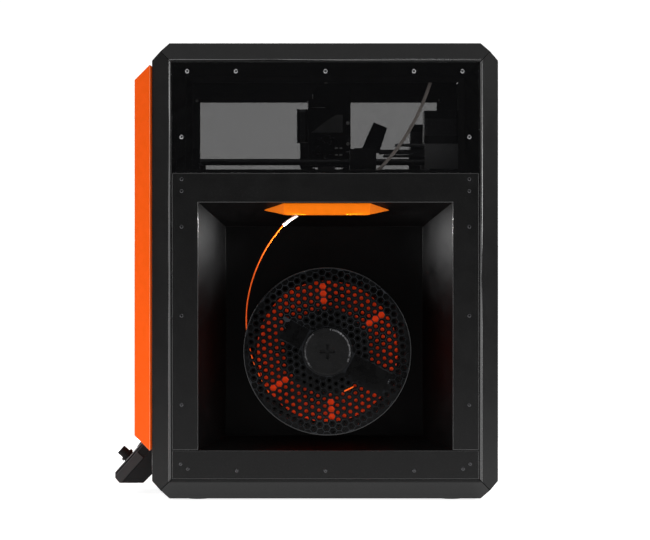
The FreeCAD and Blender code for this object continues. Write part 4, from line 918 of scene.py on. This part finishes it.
def motor(parts, place, axis, side=MOTOR_SIDE, height=MOTOR_H, bell=MOTOR_BELL):
    """Adds a stepper motor to three meshes, (end bells, steel stack, screws): its rear end stands on `place`
    and its mounting face looks along `axis`."""
    half, corner, way = side / 2, MOTOR_CORNER * side / MOTOR_SIDE, facing(place, axis)
    bells, stack, screws = parts

    def outline(inset):
        a, b = half - inset, half - corner - CORNER_SLANT * inset
        return [(a, -b), (a, b), (b, a), (-b, a), (-a, b), (-a, -b), (-b, -a), (b, -a)]

    spread = MOTOR_HOLES * side / MOTOR_SIDE
    corners = [(x, y) for x in (-spread, spread) for y in (-spread, spread)]
    holes = [polygon(MOTOR_HOLE_R, 20, 0, corner) for corner in corners]
    joined(bells, cut_sheet([outline(0)] + holes, bell, bell / 2), way)
    levels = [(height - bell, 0), (height - MOTOR_EDGE, 0), (height, MOTOR_EDGE)]
    joined(bells, stacked(bmesh.new(), levels, outline), way)
    count = round(height - 2 * bell)
    sheet = (height - 2 * bell) / count
    levels = [(bell + i * sheet + (rise if rise >= 0 else sheet + rise), inset)
              for i in range(count) for rise, inset in SHEET_STEPS]
    joined(stack, stacked(bmesh.new(), levels, outline), way)
    for x, y in corners:
        head = turned(bmesh.new(), SOCKET_HEAD, (0, 0, 0), -UP, 24)
        joined(screws, head, way @ Matrix.Translation((x, y, SOCKET_LEVEL)))


def motor_pieces(node, parts, names):
    for name, build, slot, look in zip(names, parts, ("motor_black", "motor_black", "screw_black"),
                                       (None, STACK_LOOK, None)):
        piece(name, build, BODY_OF[node], slot, [node], look)


def motors():
    parts = [bmesh.new() for _ in range(3)]
    for side in (-1, 1):
        motor(parts, (side * BELT_MOTOR_X, BELT_MOTOR_Y, BELT_MOTOR_FOOT + MOTOR_H), -UP)
    for x in SCREW_XS:
        motor(parts, (x, BED_Y, FLOOR_FACE - MOTOR_H), UP)
    motor_pieces("stepper_motors", parts, ("motor_bells", "motor_stacks", "motor_screws"))
    low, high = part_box("extruder_motor")
    middle = ((low + high) / 2 - ORIGIN) / MM
    side, thick = (high.x - low.x) / MM, (high.y - low.y) / MM
    parts = [bmesh.new() for _ in range(3)]
    motor(parts, (middle.x, middle.y - thick / 2, middle.z), BACK, side, thick, EXTRUDER_BELL)
    motor_pieces("extruder_motor", parts, ("extruder_bells", "extruder_stack", "extruder_screws"))


def lead_screws():
    """Four-start trapezoid threads."""
    def form(turn):
        return lambda angle: 1 - THREAD_DEPTH * (0.5 + 0.5 * cos(THREAD_STARTS * (angle - turn)))

    foot = FLOOR_FACE + 0.3
    length = THREAD_TOP - foot
    steps = round(length / THREAD_STEP)
    levels = [length * i / steps for i in range(steps + 1)]
    profile = [(along, THREAD_R, form(tau * along / THREAD_LEAD)) for along in levels]
    for node, x in zip(("left_lead_screw", "right_lead_screw"), SCREW_XS):
        stand_in(node + "_thread", turned(bmesh.new(), profile, (x, BED_Y, foot), UP, 24), node, crease=75)


def belt(low, length, place):
    """A toothed belt, lying level. `place` turns (distance along, distance through) into x, y."""
    edge = [(0, 0), (length, 0), (length, BELT_BACK_T)]
    for i in reversed(range(int(length / BELT_PITCH))):
        edge += [(i * BELT_PITCH + along, through) for along, through in BELT_TOOTH]
    edge.append((0, BELT_BACK_T))
    return cut_sheet([[place(u, v) for u, v in edge]], BELT_H, low + BELT_H / 2)


def belts():
    """Full lower runs, upper runs that reach from the motors to the gantry, and the two runs across it."""
    lower, across = bmesh.new(), bmesh.new()
    near, far = BELT_MOTOR_X - PULLEY_R - BELT_T, BELT_MOTOR_X + PULLEY_R + BELT_T
    for side, name in ((-1, "left"), (1, "right")):
        start, end = LOW_RUN
        joined(lower, belt(BELT_LOWER, end - start, lambda u, v: (side * (near + v), start + u)))
        start, end = HIGH_RUN
        upper = belt(BELT_UPPER, end - start, lambda u, v: (side * (far - v), start + u))
        run = shaped(name + "_upper_belt", upper)
        run.data.materials.append(LOOKS["belt_rubber"])
        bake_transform(run)
        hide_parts("drive_belts")
    stand_in("lower_belts", lower, "drive_belts")
    for y in CROSS_BELTS_Y:
        joined(across, belt(BELT_UPPER, 2 * CROSS_REACH, lambda u, v: (u - CROSS_REACH, y + v)))
    stand_in("cross_belts", across, "gantry_belts")


def pulleys():
    """Toothed wheels with two rims and a set-screw collar."""
    def teeth(angle):
        return 1 - TOOTH_DEPTH * (0.5 + 0.5 * cos(PULLEY_TEETH * angle))

    rim, tread, core, low = PULLEY_R + 1.0, PULLEY_R - 0.15, PULLEY_R - 1.6, BELT_LOWER - 2
    middle, high = BELT_UPPER - 2 - low, BELT_UPPER + BELT_H + 1.5 - low
    profile = [(0, core), (0, rim), (PULLEY_RIM_T, rim), (PULLEY_RIM_T, tread, teeth), (middle, tread, teeth),
               (middle, rim), (middle + PULLEY_RIM_T, rim), (middle + PULLEY_RIM_T, tread, teeth),
               (high - 1.4, tread, teeth), (high - 1.4, core), (high, core - 0.3)]
    for side, node in ((-1, "left_belt_pulley"), (1, "right_belt_pulley")):
        build = turned(bmesh.new(), profile, (side * BELT_MOTOR_X, BELT_MOTOR_Y, low), UP, 120)
        stand_in(node + "_toothed", build, node)


BLADES, BLADE_STEPS, BLADE_SAMPLES, BLADE_SWEEP, BLADE_T, BLADE_WIDTH = 7, 8, 6, 0.45, 0.8, 1.5
BLADE_CAMBER, BLADE_ROOT, HUB_EDGE = 1.35, 0.4, 0.6


def rotor(name, node, hub, tip, depth, pin, place, axis):
    """A fan's rotor: a bored hub and swept, cambered blades."""
    profile = [(0, pin), (0, hub - HUB_EDGE), (HUB_EDGE, hub), (depth - HUB_EDGE, hub),
               (depth, hub - HUB_EDGE), (depth, pin), (0, pin)]
    build = turned(bmesh.new(), profile, (0, 0, 0), UP, 56)
    shares = [k / BLADE_SAMPLES for k in range(BLADE_SAMPLES + 1)]
    for blade in range(BLADES):
        rings = []
        for i in range(BLADE_STEPS + 1):
            reach = hub - BLADE_ROOT + (tip - hub + BLADE_ROOT) * i / BLADE_STEPS
            start = tau * blade / BLADES + BLADE_SWEEP * i / BLADE_STEPS
            ring = []
            for side, t in [(1, t) for t in shares] + [(-1, t) for t in reversed(shares)]:
                angle = start + BLADE_WIDTH * pi / BLADES * t
                height = BLADE_T / 2 + (depth - BLADE_T) * (1 - t) ** BLADE_CAMBER + side * BLADE_T / 2
                ring.append(build.verts.new((reach * cos(angle), reach * sin(angle), height)))
            rings.append(ring)
        skinned(build, rings)
    ops.transform(build, matrix=facing(place, axis), verts=build.verts)
    stand_in(name, build, node, crease=40)


# ---- bed and head details ----

BED_X0, BED_X1, BED_HALF_Y, BED_TOP, BED_CORNER = -137.0, 113.0, 110.0, 330.0, 3.0
SHEET_T, HEATER_T, TAB_HALF, TAB_REACH, TAB_SLANT, TAB_HOLE_R = 1.0, 5.0, 35.0, 12.0, 4.0, 3.0
SEAL_RINGS, SEAL_T, SEAL_X = [(187.0, 398.0, 532.0), (160.5, 400.0, 506.6)], 0.6, HALF_W - 4.6
HEAD_WALL, HEAD_PLATE_T = HEAD_X + 25.0, 0.6
HEAD_PLATE = [(-13.7, 455.0), (26.5, 455.0), (26.5, 477.6), (18.6, 477.6), (7.9, 471.4)]
HEAD_SCREW = [(0, 2.2), (1.0, 2.2), (1.5, 1.6), (1.5, 1.0, hexagonal), (0.5, 1.0, hexagonal), (0.5, 0.1)]
HEAD_STUD = [(0, 1.6), (0.6, 1.6), (0.9, 1.2), (0.9, 0.1)]
HEAD_TURNED = [(HEAD_SCREW, -3.0, 33.2, 467.0, 24), (HEAD_SCREW, -3.0, 33.2, 440.6, 24),
               (HEAD_STUD, 0.0, -13.5, 414.2, 20), (HEAD_STUD, 0.0, 24.5, 414.2, 20)]
PIN_ROWS, PIN_COLUMNS, PIN_HALF = (426.4, 435.0), (18.4, 24.0), (2.0, 0.9)
INNER_DOME, INNER_SCREW_Y, INNER_SCREW_Z = [(0, 2.4), (0.5, 2.4), (1.1, 1.7), (1.4, 0.4)], 164.5, 509.0


def bed():
    """Heater plate, and the textured sheet on it with its pull tab."""
    y0, y1, middle = BED_Y - BED_HALF_Y, BED_Y + BED_HALF_Y, (BED_X0 + BED_X1) / 2
    build, c = bmesh.new(), BED_CORNER
    block(build, (BED_X0, y0, BED_TOP - SHEET_T - HEATER_T), (BED_X1, y1, BED_TOP - SHEET_T - 0.02))
    stand_in("bed_heater", build, "bed_plate", LOOKS["raw_aluminium"], edge=0.4)
    tab = [(middle + TAB_HALF, y0), (middle + TAB_HALF - TAB_SLANT, y0 - TAB_REACH),
           (middle - TAB_HALF + TAB_SLANT, y0 - TAB_REACH), (middle - TAB_HALF, y0)]
    edge = [(BED_X0, y0 + c), (BED_X0, y1 - c), (BED_X0 + c, y1), (BED_X1 - c, y1), (BED_X1, y1 - c),
            (BED_X1, y0 + c), (BED_X1 - c, y0)] + tab + [(BED_X0 + c, y0)]
    hole = polygon(TAB_HOLE_R, 28, 0, (middle, y0 - TAB_REACH / 2))
    stand_in("bed_sheet", cut_sheet([edge, hole], SHEET_T, BED_TOP - SHEET_T / 2), "bed_plate")


def head_details():
    """Side plate, plug, screws and small bright fittings on the right of the head. The side plate is lighter
    than the head's black as painted light; screws, studs and pins are near white, partly as painted
    highlights; the small block on the cover's front and the strip under the lever are painted highlights
    only.
    """
    wall = HEAD_WALL
    plate = joined(bmesh.new(), cut_sheet([HEAD_PLATE], HEAD_PLATE_T), on_right(wall + HEAD_PLATE_T / 2))
    # Side plate in the lighter painted light grey.
    piece("head_side_plate_painted_light", plate, "head", "black_plastic", look=SIDE_PLATE_LIGHT_LOOK)
    build = bmesh.new()
    for profile, x, y, z, segments in HEAD_TURNED:
        turned(build, profile, (wall + x, y, z), RIGHT, segments)
    # Painted highlight on the edge of the cover's sloped front.
    block(build, (wall, -12.2, 498.0), (wall + 0.3, -11.4, 504.0))
    piece("head_fittings", build, "head", "bright_steel", look=TINNED_AND_HIGHLIGHT_LOOK)
    plug, pins = bmesh.new(), bmesh.new()
    block(plug, (wall - 1.5, PIN_COLUMNS[0] - 3, PIN_ROWS[0] - 2.4),
          (wall + 0.9, PIN_COLUMNS[1] + 3, PIN_ROWS[1] + 2.4))
    half_y, half_z = PIN_HALF
    for y in PIN_COLUMNS:
        for z in PIN_ROWS:
            block(pins, (wall, y - half_y, z - half_z), (wall + 1.3, y + half_y, z + half_z))
    piece("head_plug", plug, "head", "black_plastic", edge=0.3)
    piece("head_plug_pins", pins, "head", "bright_steel", look=TINNED_AND_HIGHLIGHT_LOOK, edge=0.2)
    build = bmesh.new()
    # A painted highlight along the lever's lower edge.
    block(build, (wall + 0.6, -13.0, 486.6), (wall + 3.2, 3.5, 487.05))
    piece("lever_edge_painted_highlight", build, BODY_OF["extruder_lever"], "bright_steel", look=TINNED_AND_HIGHLIGHT_LOOK)


def inner_screws():
    """Small dome heads inside the machine at the upper corners of both side windows."""
    inner, build = SEAL_X - SEAL_T / 2, bmesh.new()
    for side in (-1, 1):
        for y in (-INNER_SCREW_Y, INNER_SCREW_Y):
            turned(build, INNER_DOME, (side * inner, y, INNER_SCREW_Z), -RIGHT * side, 24)
    piece("inner_screw_heads", build, "root", "bright_steel")


def window_seals():
    """Thin rubber sheets behind both window surrounds; they close the seams of the folded frame."""
    build = bmesh.new()
    rings = [[(-y, low), (y, low), (y, high), (-y, high)] for y, low, high in SEAL_RINGS]
    for side in (-1, 1):
        joined(build, cut_sheet(rings, SEAL_T), on_right(side * SEAL_X))
    piece("window_seals", build, "root", "belt_rubber")


# ---- the whole machine ----

PLAIN_NODES = """
    left_panels window_surrounds side_windows rear_panel base_pan chamber_floor front_plate inlet_cover
    filament_sensor spool_axle mainboard_case power_supply mains_inlet exhaust_fan lid_pane door_pane
    gantry_beam gantry_blocks head_carriage head_cover hot_end fan_duct harness_arm extruder_lever bed_frame
    encoder_stem power_rocker""".split()

studio()
floor_sheet()
for plain in PLAIN_NODES:
    rounded(plain, glints=plain != "window_surrounds")
rounded("guide_rods", look=ROD_LOOK)
brackets = rounded("motion_brackets")
# The rear brackets' right-facing faces get the lighter painted light.
brackets.data.materials.append(BRACKET_LIT_SIDE_LOOK)
for face in brackets.data.polygons:
    if face.normal.x > 0.9 and face.center.y > at(0, REAR_BRACKETS_FROM, 0).y:
        face.material_index = len(brackets.data.materials) - 1
rounded("corner_posts", 0.35, fold=2.2)
rounded("top_frame", 0.35, fold=1.2)
rounded("bottom_frame", 0.35, glints=False)
rounded("front_bezel", 0.8, fold=2.2, bends=RIM_FOLDS)
for broad in ("door_frame", "lid_frame"):
    rounded(broad, 0.8)
bay = rounded("spool_bay", 0.8, BAY_SHADE_LOOK, glints=False)
# Faces looking out of the bay, which form its back wall, take the darker painted shade.
bay.data.materials.append(BAY_BACK_SHADE_LOOK)
for face in bay.data.polygons:
    face.material_index = int(face.normal.x > 0.9)
rounded("right_panels", 0.7)
display()
fasteners()
feet()
reel()
winding()
reel_end()
cap()
hang_cords()
motors()
lead_screws()
belts()
pulleys()
rotor("exhaust_blades", "exhaust_rotor", 15.0, 36.2, 9.0, 1.6, (0, 196.5, 440.0), BACK)
rotor("head_fan_blades", "head_fan", 8.0, 16.7, 7.0, 1.1, (2.5, HEAD_Y, 434.0), RIGHT)
bed()
head_details()
inner_screws()
window_seals()
